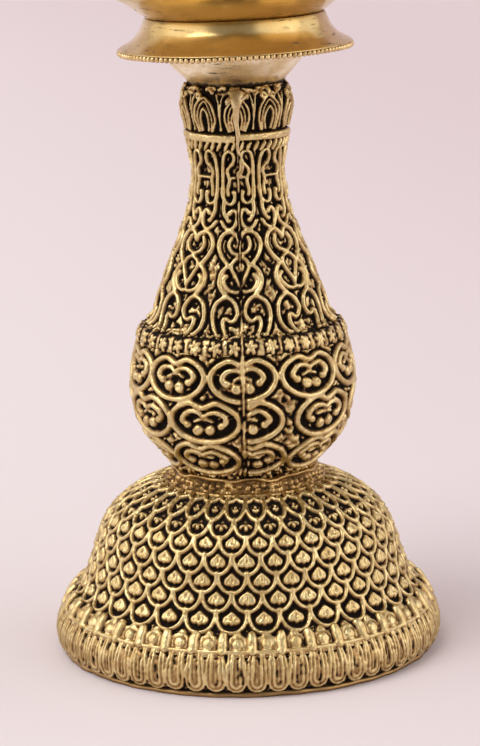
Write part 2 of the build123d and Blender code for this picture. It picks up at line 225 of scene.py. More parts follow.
def place(radius: np.ndarray, angle: np.ndarray, height: np.ndarray) -> np.ndarray:
    """Points at a radius, at an angle from the front towards the right, and at a height."""
    return np.stack(np.broadcast_arrays(radius * np.sin(angle), -radius * np.cos(angle), height), axis=-1)


def lean_head(points: np.ndarray) -> np.ndarray:
    """Tips the oil head up to the right, as it was fitted: height grows with x times the lean's slope, from
    the seat upwards.

    Args:
        points: Points whose last axis is x, y and height.

    Returns:
        The moved points, in an array of the same shape.
    """
    share = np.clip((points[..., 2] - HEAD_SEAT) / LEAN_BLEND, 0.0, 1.0)
    share = share * share * (3 - 2 * share)
    out = points.copy()
    out[..., 2] += points[..., 0] * math.tan(HEAD_LEAN) * share
    return out


def turned(
    name: str,
    profile: np.ndarray,
    segments: int = 160,
    age: np.ndarray | None = None,
    wobble: float = 0.0,
    leaning: bool = False,
) -> Piece:
    """Turns a closed profile about the lamp's axis. A profile whose ends are on the axis gets one pole
    vertex at each.

    Args:
        name: Name of the piece.
        profile: (n, 2) array of radius and height, going up the outside and back down the inside.
        segments: Number of steps round.
        age: Patina of each profile point.
        wobble: How far hand work leaves the radius out of round, in millimetres.
        leaning: True for a piece of the oil head, which leans.

    Returns:
        The new object.
    """
    profile = np.asarray(profile, float)
    poles = profile[:, 0] < 1e-6
    angle = turns(segments)
    rings = profile[~poles]
    shape = np.sin(2 * angle + 0.7) + 0.5 * np.sin(
        5 * angle + rings[:, 1:2] * 0.05
    ) + 0.35 * np.sin(9 * angle - 1.0)
    grid = place(rings[:, :1] + wobble * shape, angle[None], rings[:, 1:2])
    points = grid.reshape(-1, 3)
    ages = np.full(len(profile), PLAIN_AGE) if age is None else np.asarray(age, float)
    spread = np.repeat(ages[~poles], segments)
    faces = [sheet_faces(len(rings), segments, not poles.any(), True)]
    if poles.any():
        faces.append(fan(len(points), 0, segments, False))
        faces.append(fan(len(points) + 1, (len(rings) - 1) * segments, segments, True))
        points = np.vstack([points, [0, 0, profile[0, 1]], [0, 0, profile[-1, 1]]])
        spread = np.concatenate([spread, [ages[0], ages[-1]]])
    return solid(name, lean_head(points) if leaning else points, faces, spread)


def beads(name: str, centres: np.ndarray, radius: float) -> Piece:
    """A row of small round beads, each a sphere of latitude and longitude lines.

    Args:
        name: Name of the piece.
        centres: (n, 3) array of bead centres.
        radius: Radius of a bead.

    Returns:
        The new object.
    """
    across, up = BEAD_SIDES, BEAD_RINGS
    angle = turns(across)
    tilt = (np.arange(1, up + 1) / (up + 1) - 0.5) * math.pi
    ring = np.stack(
        np.broadcast_arrays(
            np.cos(tilt)[:, None] * np.cos(angle), np.cos(tilt)[:, None] * np.sin(angle),
            np.sin(tilt)[:, None],
        ),
        axis=-1,
    ).reshape(-1, 3)
    ball = np.vstack([ring, [0, 0, -1], [0, 0, 1]]) * radius
    quads = sheet_faces(up, across, False, True)
    south = fan(up * across, 0, across, False)
    north = fan(up * across + 1, (up - 1) * across, across, True)
    points = (centres[:, None] + ball[None]).reshape(-1, 3)
    shift = (np.arange(len(centres)) * len(ball))[:, None, None]
    faces = [(f[None] + shift).reshape(-1, f.shape[1]) for f in (quads, south, north)]
    return solid(name, points, faces, np.full(len(points), BEAD_AGE))


# ---------------------------------------------------------------- raised work
class Section(Enum):
    """Cross-sections of raised work, as lift against the share of the half width."""

    ROUND = "round"
    STRAP = "strap"
    CUSHION = "cushion"
    RIDGE = "ridge"

    def lift(self, across: np.ndarray) -> np.ndarray:
        """Lift from 0 to 1: a slightly flattened half circle, a flat with round shoulders, a parabola, or a
        straight-sided ridge.

        Args:
            across: Distance from the middle line as a share of the half width.

        Returns:
            The lift at each distance.
        """
        x = np.clip(across, 0.0, 1.0)
        if self is Section.ROUND:
            return np.sqrt(1 - x**3)
        if self is Section.STRAP:
            return np.sqrt(1 - x**5)
        if self is Section.CUSHION:
            return 1 - x**2
        return 1 - x


def evened(values: np.ndarray, times: int) -> np.ndarray:
    """Averages each point of a ring-shaped grid with its neighbours, nearer ones counting more, a number of
    times.

    Args:
        values: Grid of rows up the outline and columns round it.
        times: Number of passes.

    Returns:
        The evened grid.
    """
    for _ in range(times):
        values = 0.5 * values + 0.25 * (np.roll(values, 1, 1) + np.roll(values, -1, 1))
        padded = np.vstack([values[:1], values, values[-1:]])
        values = 0.5 * values + 0.25 * (padded[:-2] + padded[2:])
    return values


def spread_widths(half: Widths, count: int) -> np.ndarray:
    """Half widths at a number of points, from one width or from a few spread evenly along them."""
    return np.interp(np.linspace(0, 1, count), np.linspace(0, 1, np.size(half)), np.atleast_1d(half))


def spot_at(centre: float, along: float) -> np.ndarray:
    """A path so short that a strap or a groove along it is round."""
    return np.array([[centre, along], [centre + 1e-6, along]])


class Relief:
    """Raised work all round a turned outline, kept as a lift above the ground on a grid of angle and
    distance along the outline."""

    def __init__(self, outline: Outline, low: float, high: float, pitch: float, seed: int) -> None:
        """Makes an empty grid.

        Args:
            outline: The ground that the work stands on.
            low: Distance along the outline where the grid starts.
            high: Distance where it ends.
            pitch: Size of a grid cell.
            seed: Seed of the small unevenness of hand work.
        """
        self.outline = outline
        self.along = np.linspace(low, high, max(3, int(round((high - low) / pitch)) + 1))
        self.radius, self.height, self.out_radius, self.out_height = outline.at(self.along)
        self.columns = 2 * int(round(self.radius.max() * math.pi / pitch))
        self.step = TURN / self.columns
        self.lift = np.zeros((len(self.along), self.columns))
        self.dice = np.random.default_rng(seed)
        self.crown = 1.6
        self.clear = 0.35
        self.deep = 1.1
        self.side: bool | None = None
        self.bare = np.zeros_like(self.lift, bool)

    def on_surface(
        self, centre: float, points: Points, mirrored: bool = False, sway: float = 0.07
    ) -> np.ndarray:
        """A smooth path from points given as (distance across from a centre line, height).

        Args:
            centre: Angle of the centre line.
            points: Points of the path.
            mirrored: True to flip the path across the centre line.
            sway: How far hand work moves each point.

        Returns:
            An (n, 2) array of angle and distance along the outline.
        """
        knots = np.asarray(points, float) + self.dice.normal(0.0, sway, (len(points), 2))
        path = smooth(knots, 0.45)
        along = self.outline.reach(path[:, 1], self.crown)
        radius = self.outline.at(along)[0] + self.crown
        return np.column_stack([centre + (-1 if mirrored else 1) * path[:, 0] / radius, along])

    def around(
        self, centre: float, along: float, points: Points, mirrored: bool = False, closed: bool = False,
        scale: float = 1.0, sway: float = 0.06,
    ) -> np.ndarray:
        """A smooth path from points given as (across, along) distances from a centre point.

        Args:
            centre: Angle of the centre point.
            along: Distance along the outline of the centre point.
            points: Points of the path.
            mirrored: True to flip the path across the centre line.
            closed: True for a loop.
            scale: Factor on the points.
            sway: How far hand work moves each point.

        Returns:
            An (n, 2) array of angle and distance along the outline.
        """
        knots = np.asarray(points, float) * scale + self.dice.normal(0.0, sway, (len(points), 2))
        path = smooth(knots, 0.4, closed)
        radius = self.outline.at(along + path[:, 1])[0] + self.crown
        return np.column_stack([centre + (-1 if mirrored else 1) * path[:, 0] / radius, along + path[:, 1]])

    def _near(self, path: np.ndarray, half: np.ndarray) -> tuple[slice, np.ndarray, np.ndarray] | None:
        """Rows and columns round a path, and their distance to it as a share of the half width there.

        The distance is to the nearest of the path's straight runs, with angles turned into lengths at each
        row's radius.

        Args:
            path: Angle and distance along the outline.
            half: Half width at each of the path's points.

        Returns:
            The rows, the columns and the distances, or None if the path is off the grid.
        """
        margin = float(np.max(half))
        rows = np.flatnonzero(
            (self.along > path[:, 1].min() - margin) & (self.along < path[:, 1].max() + margin)
        )
        if not len(rows):
            return None
        rows = slice(rows[0], rows[-1] + 1)
        radius = self.radius[rows][:, None]
        spread = margin / radius.min()
        first = int(math.floor((path[:, 0].min() - spread) / self.step))
        last = int(math.ceil((path[:, 0].max() + spread) / self.step))
        columns = np.arange(self.columns) if last - first >= self.columns else np.arange(first, last + 1)
        if self.side is not None:
            columns = columns[(columns % self.columns < self.columns // 2) == self.side]
        across = columns[None] * self.step
        along = self.along[rows][:, None]
        best = np.full((along.shape[0], len(columns)), np.inf)
        for (a0, s0), (a1, s1), h0, h1 in zip(path[:-1], path[1:], half[:-1], half[1:]):
            run = (a1 - a0) * radius
            rise = s1 - s0
            side = (across - a0) * radius
            lift = along - s0
            size = np.maximum(run * run + rise * rise, 1e-9)
            t = np.clip((side * run + lift * rise) / size, 0.0, 1.0)
            away = np.hypot(side - t * run, lift - t * rise) / (h0 + (h1 - h0) * t)
            np.minimum(best, away, out=best)
        return rows, columns % self.columns, best

    def raise_strap(
        self, path: np.ndarray, half: Widths, lift: float, section: Section = Section.ROUND
    ) -> None:
        """Lays a strap along a path; where straps cross, the higher one shows.

        Args:
            path: Angle and distance along the outline.
            half: Half width, or half widths spread evenly along the path.
            lift: Height of the strap's crown above the ground.
            section: Its cross-section.
        """
        found = self._near(path, spread_widths(half, len(path)))
        if found is None:
            return
        rows, columns, away = found
        raised = np.where(away < 1.0, lift * section.lift(away), -np.inf)
        self.lift[rows, columns] = np.maximum(self.lift[rows][:, columns], raised)

    def raise_ball(self, centre: float, along: float, radius: float, lift: float) -> None:
        """A round boss at a point."""
        self.raise_strap(spot_at(centre, along), radius, lift)

    def shape_band(
        self, path: np.ndarray, half: Widths, across: Sequence[float], lift: Sequence[float]
    ) -> None:
        """Lays a band whose lift is read from a list of heights across it, centre first.

        Args:
            path: Angle and distance along the outline.
            half: Half width, or half widths spread evenly along the path.
            across: Shares of the half width, from the centre outwards.
            lift: Lift at each share.
        """
        found = self._near(path, spread_widths(half, len(path)))
        if found is None:
            return
        rows, columns, away = found
        raised = np.where(away < 1.0, np.interp(away, across, lift), -np.inf)
        self.lift[rows, columns] = np.maximum(self.lift[rows][:, columns], raised)

    def press(self, path: np.ndarray, half: Widths, depth: float, floor: float = 0.0) -> None:
        """Presses a round groove along a path, no deeper than the floor.

        Args:
            path: Angle and distance along the outline.
            half: Half width, or half widths spread evenly along the path.
            depth: How deep the groove's middle goes.
            floor: Lowest lift that it leaves.
        """
        found = self._near(path, spread_widths(half, len(path)))
        if found is None:
            return
        rows, columns, away = found
        block = self.lift[rows][:, columns]
        pressed = np.maximum(block - depth * Section.CUSHION.lift(away), np.minimum(block, floor))
        self.lift[rows, columns] = np.where(away < 1.0, pressed, block)

    def press_spot(self, centre: float, along: float, radius: float, depth: float) -> None:
        """Presses a round dent at a point."""
        self.press(spot_at(centre, along), radius, depth)

    def keep_bare(self, path: np.ndarray, half: Widths) -> None:
        """Marks a stretch along a path where the ground stays flat and deep.

        Args:
            path: Angle and distance along the outline.
            half: Half width of the stretch.
        """
        found = self._near(path, spread_widths(half, len(path)))
        if found is not None:
            rows, columns, away = found
            self.bare[rows, columns] = self.bare[rows][:, columns] | (away < 1.0)

    def foliage(self, low: float, high: float, count: int, lift: float, half: float = 0.42) -> None:
        """Scatters short curled strokes and seeds over a band, as the worn leafy ground between the straps.

        Args:
            low: Distance along the outline where the band starts.
            high: Distance where it ends.
            count: Number of strokes.
            lift: Lift of the highest stroke.
            half: Middle half width of a stroke.
        """
        for _ in range(count):
            angle, along = self.dice.uniform(0, TURN), self.dice.uniform(low, high)
            heading, bend = self.dice.uniform(0, TURN), self.dice.uniform(-1.2, 1.2)
            size = self.dice.uniform(0.6, 1.5)
            t = np.linspace(-1, 1, 4)
            turn = heading + bend * t
            path = np.column_stack([np.cumsum(np.cos(turn)), np.cumsum(np.sin(turn))]) * size * 0.5
            radius = self.outline.at(along)[0]
            track = np.column_stack([angle + path[:, 0] / radius, along + path[:, 1]])
            self.raise_strap(track, [half * 0.6, half * 1.2, half * 0.6], lift * self.dice.uniform(0.6, 1.0))

    def fill_ground(
        self, lift: float, moat: float, rough: float = 0.45, end: float = 1e3, after: float = 0.5
    ) -> None:
        """Fills the ground between the straps with worn lumps, apart from a deep moat along each strap and
        the bare places.

        The lumps are evened-out random numbers about a mean. The share of them that stands falls smoothly to
        nothing within the moat's width of any high work.

        Args:
            lift: Mean lift of the lumps.
            moat: Width of the deep line along each strap.
            rough: Share of the lift by which the lumps go up and down.
            end: Distance along the outline where the lumps get lower.
            after: Share of their height that they keep above it.
        """
        noise = self.dice.normal(size=self.lift.shape)
        high = (self.lift > lift * 1.35).astype(float)
        near = self._cover(high, self._cells(moat))
        noise, near, bare = evened(noise, 5), evened(near, 1), evened(self.bare.astype(float), 1)
        lumps = lift * (1 + rough * noise / noise.std())
        lumps = np.clip(lumps, 0.1 * lift, 1.5 * lift) * (1 - near) * (1 - bare)
        lumps *= np.where(self.along > end, after, 1.0)[:, None]
        self.lift = np.maximum(self.lift, lumps)

    def soften(self) -> None:
        """Rounds the steps of the grid, and adds the fine unevenness of sand casting: small evened-out
        random numbers."""
        self.lift = evened(self.lift, 1)
        uneven = evened(self.dice.normal(0, 1, self.lift.shape), 1)
        self.lift = self.lift + uneven * (CAST_GRIT / uneven.std()) * np.clip(self.lift, 0.15, 0.6)

    def shift_half(self, distance: float) -> None:
        """Slides the right half's work up the outline, as two castings that were joined a little out of
        step.

        Args:
            distance: How far up the outline it slides.
        """
        half = self.columns // 2
        moved = self.along - distance
        part = self.lift[:, :half]
        low = np.clip(np.searchsorted(self.along, moved) - 1, 0, len(self.along) - 2)
        share = ((moved - self.along[low]) / (self.along[low + 1] - self.along[low]))[:, None]
        share = np.clip(share, 0.0, 1.0)
        self.lift[:, :half] = part[low] * (1 - share) + part[low + 1] * share

    def _cells(self, distance: float) -> int:
        """Number of grid cells in a distance, at least one."""
        return max(1, int(round(distance / (self.along[1] - self.along[0]))))

    def _cover(self, values: np.ndarray, cells: int) -> np.ndarray:
        """Highest value within a square of cells round each point, round the ring and up and down it.

        Args:
            values: Grid like the lift.
            cells: Half the square's side.

        Returns:
            The highest values, in a grid like the lift.
        """
        for axis, mode in ((0, "edge"), (1, "wrap")):
            pad = [(cells, cells) if k == axis else (0, 0) for k in (0, 1)]
            padded = np.pad(values, pad, mode=mode)
            size = self.lift.shape[axis]
            values = np.max(
                [np.take(padded, np.arange(k, k + size), axis=axis) for k in range(2 * cells + 1)], axis=0
            )
        return values

    def age(self) -> np.ndarray:
        """Patina from 0 to 1, which a polishing cloth leaves where it can't reach.

        It grows with how far a point lies below the highest work within the cloth's reach, and with how low
        it lies in the whole relief.

        Returns:
            An array like the grid.
        """
        cover = self._cover(self.lift, self._cells(CLOTH_REACH))
        low = 1.0 - np.clip(self.lift / max(1e-6, float(np.quantile(self.lift, CROWN_SHARE))), 0.0, 1.0)
        below = np.clip(cover - self.lift - self.clear, 0.0, None)
        return np.clip(HOLLOW_PATINA * below / self.deep + LOW_PATINA * low - POLISH, 0.0, 1.0)

    def skin(
        self, name: str, wall: float, first: float = 0.0, last: float = TURN, back_age: float = 0.8
    ) -> Piece:
        """Makes a closed wall from the raised work, its plain back, and flat ends if it doesn't go all the
        way round.

        Args:
            name: Name of the piece.
            wall: Thickness of the metal behind the ground.
            first: Angle where it starts.
            last: Angle where it ends.
            back_age: Patina of the back.

        Returns:
            The new object.
        """
        ring = last - first > TURN - 1e-6
        count = self.columns if ring else int(round((last - first) / self.step)) + 1
        start = int(round(first / self.step))
        columns = np.arange(start, start + count)
        lift = self.lift[:, columns % self.columns]
        angle = columns[None] * self.step
        radius = self.radius[:, None] + self.out_radius[:, None] * lift
        height = self.height[:, None] + self.out_height[:, None] * lift
        front = place(radius, angle, height)
        back_along = np.linspace(self.along[-1], self.along[0], BACK_ROWS)
        r, z, out_r, out_z = self.outline.at(back_along)
        r = np.maximum(r - out_r * wall, 0.5)
        back = place(r[:, None], angle, np.broadcast_to((z - out_z * wall)[:, None], (BACK_ROWS, count)))
        rows = len(self.along) + BACK_ROWS
        points = np.concatenate([front, back]).reshape(-1, 3)
        points[:, 2] = np.maximum(points[:, 2], 0.0)
        ages = np.concatenate([self.age()[:, columns % self.columns], np.full((BACK_ROWS, count), back_age)])
        faces = [sheet_faces(rows, count, True, ring)]
        if not ring:
            edge = np.arange(rows) * count
            faces += [edge[None], (edge + count - 1)[None, ::-1]]
        return solid(name, points, faces, ages)


# ---------------------------------------------------------------- finishes
def wire(tree: Tree, start: Socket, end: Socket) -> None:
    """Joins two sockets."""
    tree.links.new(start, end)


def put(tree: Tree, kind: str, **values: object) -> Node:
    """Adds a node. Values named like an input set that socket; the rest set the node's own settings.

    Args:
        tree: The node tree that it goes in.
        kind: The node's type.
        **values: Settings and input values.

    Returns:
        The new node.
    """
    node = tree.nodes.new(kind)
    for key, value in values.items():
        label = key.replace("_", " ").title()
        if hasattr(node, key):
            setattr(node, key, value)
        elif label in node.inputs:
            node.inputs[label].default_value = value
        else:
            raise KeyError(f"{kind} has no {key}")
    return node


def new_group(name: str, inputs: dict[str, float], outputs: Sequence[str]) -> tuple[Tree, Node, Node]:
    """An empty shader node group with number inputs and outputs.

    Args:
        name: Name of the group.
        inputs: Its inputs, with the value each starts at.
        outputs: Names of its outputs.

    Returns:
        The group, its input node and its output node.
    """
    tree = bpy.data.node_groups.new(name, "ShaderNodeTree")
    for key, value in inputs.items():
        socket = tree.interface.new_socket(key, in_out="INPUT", socket_type="NodeSocketFloat")
        socket.default_value = value
    for key in outputs:
        tree.interface.new_socket(key, in_out="OUTPUT", socket_type="NodeSocketFloat")
    return tree, tree.nodes.new("NodeGroupInput"), tree.nodes.new("NodeGroupOutput")


def steps(tree: Tree, value: Socket, low: float | Socket, high: float | Socket) -> Socket:
    """A smooth step of a value from 0 at low to 1 at high.

    Args:
        tree: The node tree.
        value: The value that is stepped.
        low: Value where the step starts.
        high: Value where it ends.

    Returns:
        The stepped value.
    """
    node = put(tree, "ShaderNodeMapRange", interpolation_type="SMOOTHSTEP")
    wire(tree, value, node.inputs["Value"])
    for key, edge in (("From Min", low), ("From Max", high)):
        if isinstance(edge, (int, float)):
            node.inputs[key].default_value = edge
        else:
            wire(tree, edge, node.inputs[key])
    return node.outputs["Result"]


def sums(tree: Tree, operation: str, *terms: object) -> Socket:
    """One maths node on numbers or sockets.

    Args:
        tree: The node tree.
        operation: What the node does.
        *terms: Numbers or sockets.

    Returns:
        The result.
    """
    node = put(tree, "ShaderNodeMath", operation=operation)
    for socket, term in zip(node.inputs, terms):
        if isinstance(term, (int, float)):
            socket.default_value = term
        else:
            wire(tree, term, socket)
    return node.outputs[0]


def patina_group() -> Tree:
    """Dark patina: the age attribute broken up by two sizes of noise, then stepped. Puts out the dark mask,
    a colour drift and a bump height.

    Returns:
        The new group.
    """
    tree, inlet, outlet = new_group(
        "patina", {"Scale": 260.0, "Breakup": 0.3, "Start": 0.42, "End": 0.72},
        ["Dark", "Brown", "Drift", "Grain"],
    )
    where = put(tree, "ShaderNodeTexCoord")
    age = put(tree, "ShaderNodeAttribute", attribute_name="age")
    coarse = put(tree, "ShaderNodeTexNoise", detail=4.0, roughness=0.6)
    fine = put(tree, "ShaderNodeTexNoise", detail=6.0, roughness=0.7)
    wire(tree, where.outputs["Object"], coarse.inputs["Vector"])
    wire(tree, where.outputs["Object"], fine.inputs["Vector"])
    wire(tree, inlet.outputs["Scale"], coarse.inputs["Scale"])
    wire(tree, sums(tree, "MULTIPLY", inlet.outputs["Scale"], 5.0), fine.inputs["Scale"])
    mixed = sums(
        tree, "ADD", sums(tree, "MULTIPLY", coarse.outputs[0], 0.6),
        sums(tree, "MULTIPLY", fine.outputs[0], 0.4),
    )
    ragged = sums(
        tree, "MULTIPLY", sums(tree, "SUBTRACT", mixed, 0.5),
        sums(tree, "MULTIPLY", inlet.outputs["Breakup"], 2.0),
    )
    aged = sums(tree, "ADD", age.outputs["Fac"], ragged)
    wire(tree, steps(tree, aged, inlet.outputs["Start"], inlet.outputs["End"]), outlet.inputs["Dark"])
    wire(tree, steps(tree, aged, 0.02, inlet.outputs["Start"]), outlet.inputs["Brown"])
    wire(tree, steps(tree, coarse.outputs[0], 0.3, 0.7), outlet.inputs["Drift"])
    wire(tree, fine.outputs[0], outlet.inputs["Grain"])
    return tree


def scratch_group() -> Tree:
    """Marks left by turning and handling: noise stretched round the axis, stepped to thin lines and specks.

    Returns:
        The new group.
    """
    tree, inlet, outlet = new_group("scratches", {"Scale": 90.0, "Amount": 0.5}, ["Marks", "Height"])
    where = put(tree, "ShaderNodeTexCoord")
    stretch = put(tree, "ShaderNodeMapping")
    stretch.inputs["Scale"].default_value = (0.35, 0.35, 3.2)
    lines = put(tree, "ShaderNodeTexNoise", detail=8.0, roughness=0.75)
    wire(tree, where.outputs["Object"], stretch.inputs["Vector"])
    wire(tree, stretch.outputs["Vector"], lines.inputs["Vector"])
    wire(tree, inlet.outputs["Scale"], lines.inputs["Scale"])
    patches = put(tree, "ShaderNodeTexNoise", scale=28.0, detail=3.0)
    wire(tree, where.outputs["Object"], patches.inputs["Vector"])
    both = sums(
        tree, "MULTIPLY", steps(tree, lines.outputs[0], 0.56, 0.66),
        steps(tree, patches.outputs[0], 0.5, 0.62),
    )
    wire(tree, sums(tree, "MULTIPLY", both, inlet.outputs["Amount"]), outlet.inputs["Marks"])
    wire(tree, lines.outputs[0], outlet.inputs["Height"])
    return tree


def colour_mix(tree: Tree, share: Socket, first: object, second: object) -> Socket:
    """Mixes two colours, each a colour or a socket, by a share.

    Args:
        tree: The node tree.
        share: Share of the second colour.
        first: A colour or a socket.
        second: A colour or a socket.

    Returns:
        The mixed colour.
    """
    node = put(tree, "ShaderNodeMix", data_type="RGBA")
    wire(tree, share, node.inputs["Factor"])
    for socket, colour in ((node.inputs[6], first), (node.inputs[7], second)):
        if isinstance(colour, tuple):
            socket.default_value = (*colour, 1.0)
        else:
            wire(tree, colour, socket)
    return node.outputs[2]


@dataclass(frozen=True)
class Finish:
    """A brass or steel finish: its bright and shaded colours, the patina in its hollows, its gloss and its
    grain."""

    name: str
    bright: Colour
    shade: Colour
    brown: Colour = (0.36, 0.215, 0.085)
    dark: Colour = (0.012, 0.007, 0.004)
    rough: float = 0.30
    dark_rough: float = 0.8
    dark_metal: float = 0.0
    scale: float = 260.0
    breakup: float = 0.25
    start: float = 0.42
    end: float = 0.72
    grain: float = 0.25
    marks: float = 0.0
    mark_scale: float = 90.0

    def material(self) -> bpy.types.Material:
        """Builds the finish's material from the shared groups.

        Returns:
            The new material.
        """
        made = bpy.data.materials.new(self.name)
        made.use_nodes = True
        tree = made.node_tree
        shader = tree.nodes["Principled BSDF"]
        patina = put(tree, "ShaderNodeGroup", node_tree=bpy.data.node_groups["patina"])
        for key, value in (
            ("Scale", self.scale), ("Breakup", self.breakup), ("Start", self.start), ("End", self.end)
        ):
            patina.inputs[key].default_value = value
        metal = colour_mix(tree, patina.outputs["Drift"], self.bright, self.shade)
        metal = colour_mix(tree, patina.outputs["Brown"], metal, self.brown)
        shader.inputs["Specular IOR Level"].default_value = SHEEN
        dark = patina.outputs["Dark"]
        height = patina.outputs["Grain"]
        if self.marks:
            scratches = put(tree, "ShaderNodeGroup", node_tree=bpy.data.node_groups["scratches"])
            scratches.inputs["Scale"].default_value = self.mark_scale
            scratches.inputs["Amount"].default_value = self.marks
            dark = sums(tree, "MAXIMUM", dark, scratches.outputs["Marks"])
            height = scratches.outputs["Height"]
        wire(tree, colour_mix(tree, dark, metal, self.dark), shader.inputs["Base Color"])
        rough = put(tree, "ShaderNodeMapRange")
        rough.inputs["To Min"].default_value = self.rough
        rough.inputs["To Max"].default_value = self.dark_rough
        wire(tree, dark, rough.inputs["Value"])
        worn = sums(tree, "MULTIPLY", sums(tree, "SUBTRACT", patina.outputs["Drift"], 0.5), 0.12)
        wire(tree, sums(tree, "ADD", rough.outputs["Result"], worn), shader.inputs["Roughness"])
        metallic = put(tree, "ShaderNodeMapRange")
        metallic.inputs["To Min"].default_value = 1.0
        metallic.inputs["To Max"].default_value = self.dark_metal
        wire(tree, dark, metallic.inputs["Value"])
        wire(tree, metallic.outputs["Result"], shader.inputs["Metallic"])
        bump = put(tree, "ShaderNodeBump", strength=self.grain, distance=GRAIN_HEIGHT)
        wire(tree, height, bump.inputs["Height"])
        wire(tree, bump.outputs["Normal"], shader.inputs["Normal"])
        return made


ANTIQUE = Finish("cast_brass", (0.79, 0.635, 0.32), (0.61, 0.44, 0.185), rough=0.36, start=0.45, end=0.8)
WORN = Finish(
    "worn_brass", (0.66, 0.46, 0.20), (0.46, 0.29, 0.11), brown=(0.34, 0.20, 0.07), rough=0.36, scale=180.0,
    breakup=0.5, start=0.85, end=1.15,
)
SOLDER = Finish(
    "braze_metal", (0.86, 0.70, 0.40), (0.50, 0.33, 0.13), brown=(0.38, 0.24, 0.09), rough=0.4, scale=300.0,
    breakup=0.5, start=0.75, end=1.1,
)
POLISHED = Finish(
    "turned_brass", (0.90, 0.72, 0.385), (0.76, 0.54, 0.22), brown=(0.56, 0.38, 0.14),
    dark=(0.05, 0.03, 0.015), rough=0.2, dark_rough=0.5, dark_metal=0.3, scale=40.0, breakup=0.35,
    start=0.62, end=0.95, grain=0.05, marks=1.0, mark_scale=380.0,
)
STAINED = Finish(
    "stained_brass", (1.0, 0.90, 0.66), (0.92, 0.76, 0.48), brown=(0.66, 0.48, 0.22),
    dark=(0.05, 0.03, 0.015), rough=0.33, dark_rough=0.6, dark_metal=0.2, scale=150.0, breakup=0.55,
    start=0.66, end=0.88, grain=0.08, marks=1.0, mark_scale=330.0,
)
BEADING = Finish(
    "bead_brass", (0.86, 0.66, 0.34), (0.68, 0.46, 0.2), start=0.45, end=0.8, scale=500.0, breakup=0.5
)
DULL = Finish(
    "rod_brass", (0.62, 0.44, 0.20), (0.42, 0.28, 0.12), rough=0.42, grain=0.35, start=0.4, end=1.0,
    breakup=0.5,
)
STEEL = Finish(
    "zinc_coat", (0.62, 0.62, 0.60), (0.45, 0.45, 0.44), dark=(0.06, 0.055, 0.05), rough=0.34, scale=400.0,
    start=0.5, end=1.0,
)


def dress(piece: Piece, finish: Finish) -> None:
    """Gives a piece one finish, in every slot it has.

    Args:
        piece: The piece.
        finish: Its finish.
    """
    made = bpy.data.materials.get(finish.name) or finish.material()
    if piece.data.materials:
        for slot in piece.material_slots:
            slot.material = made
    else:
        piece.data.materials.append(made)


def fit(piece: Piece, body: str, slot: str, finish: Finish, *nodes: str) -> Piece:
    """Dresses a piece, rides it on its body and hides the CAD nodes that it stands for.

    Args:
        piece: The piece.
        body: Name of the body that it moves with.
        slot: Name of the record's finish slot; not used.
        finish: Its finish.
        *nodes: CAD nodes that it stands for.

    Returns:
        The same piece.
    """
    dress(piece, finish)
    if nodes:
        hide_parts(*nodes)
    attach(piece, body)
    log.info("%s: %d faces on %s", piece.name, len(piece.data.polygons), body)
    return piece


# ---------------------------------------------------------------- sizes shared with the frame
def top_of(node: str) -> float:
    """Height of a CAD node's top, in millimetres."""
    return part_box(node)[1][2] / MM


def foot_of(node: str) -> float:
    """Height of a CAD node's foot, in millimetres."""
    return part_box(node)[0][2] / MM


def reach_of(node: str) -> float:
    """Largest distance of a CAD node to the right of the axis, in millimetres."""
    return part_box(node)[1][0] / MM


HEAD_SEAT = top_of("stem_shell_left")
HEAD_LEAN = math.radians(1.3)
LEAN_BLEND = 9.0
BELL_TOP = top_of("base_bell")
STEM_FOOT = foot_of("stem_shell_left")
DISH_FOOT = foot_of("oil_dish")
DISH_RIM = top_of("oil_dish")
POST_TOP = top_of("dish_post")


# ---------------------------------------------------------------- foot
HALVES = (("right", 0.0, TURN / 2), ("left", TURN / 2, TURN))


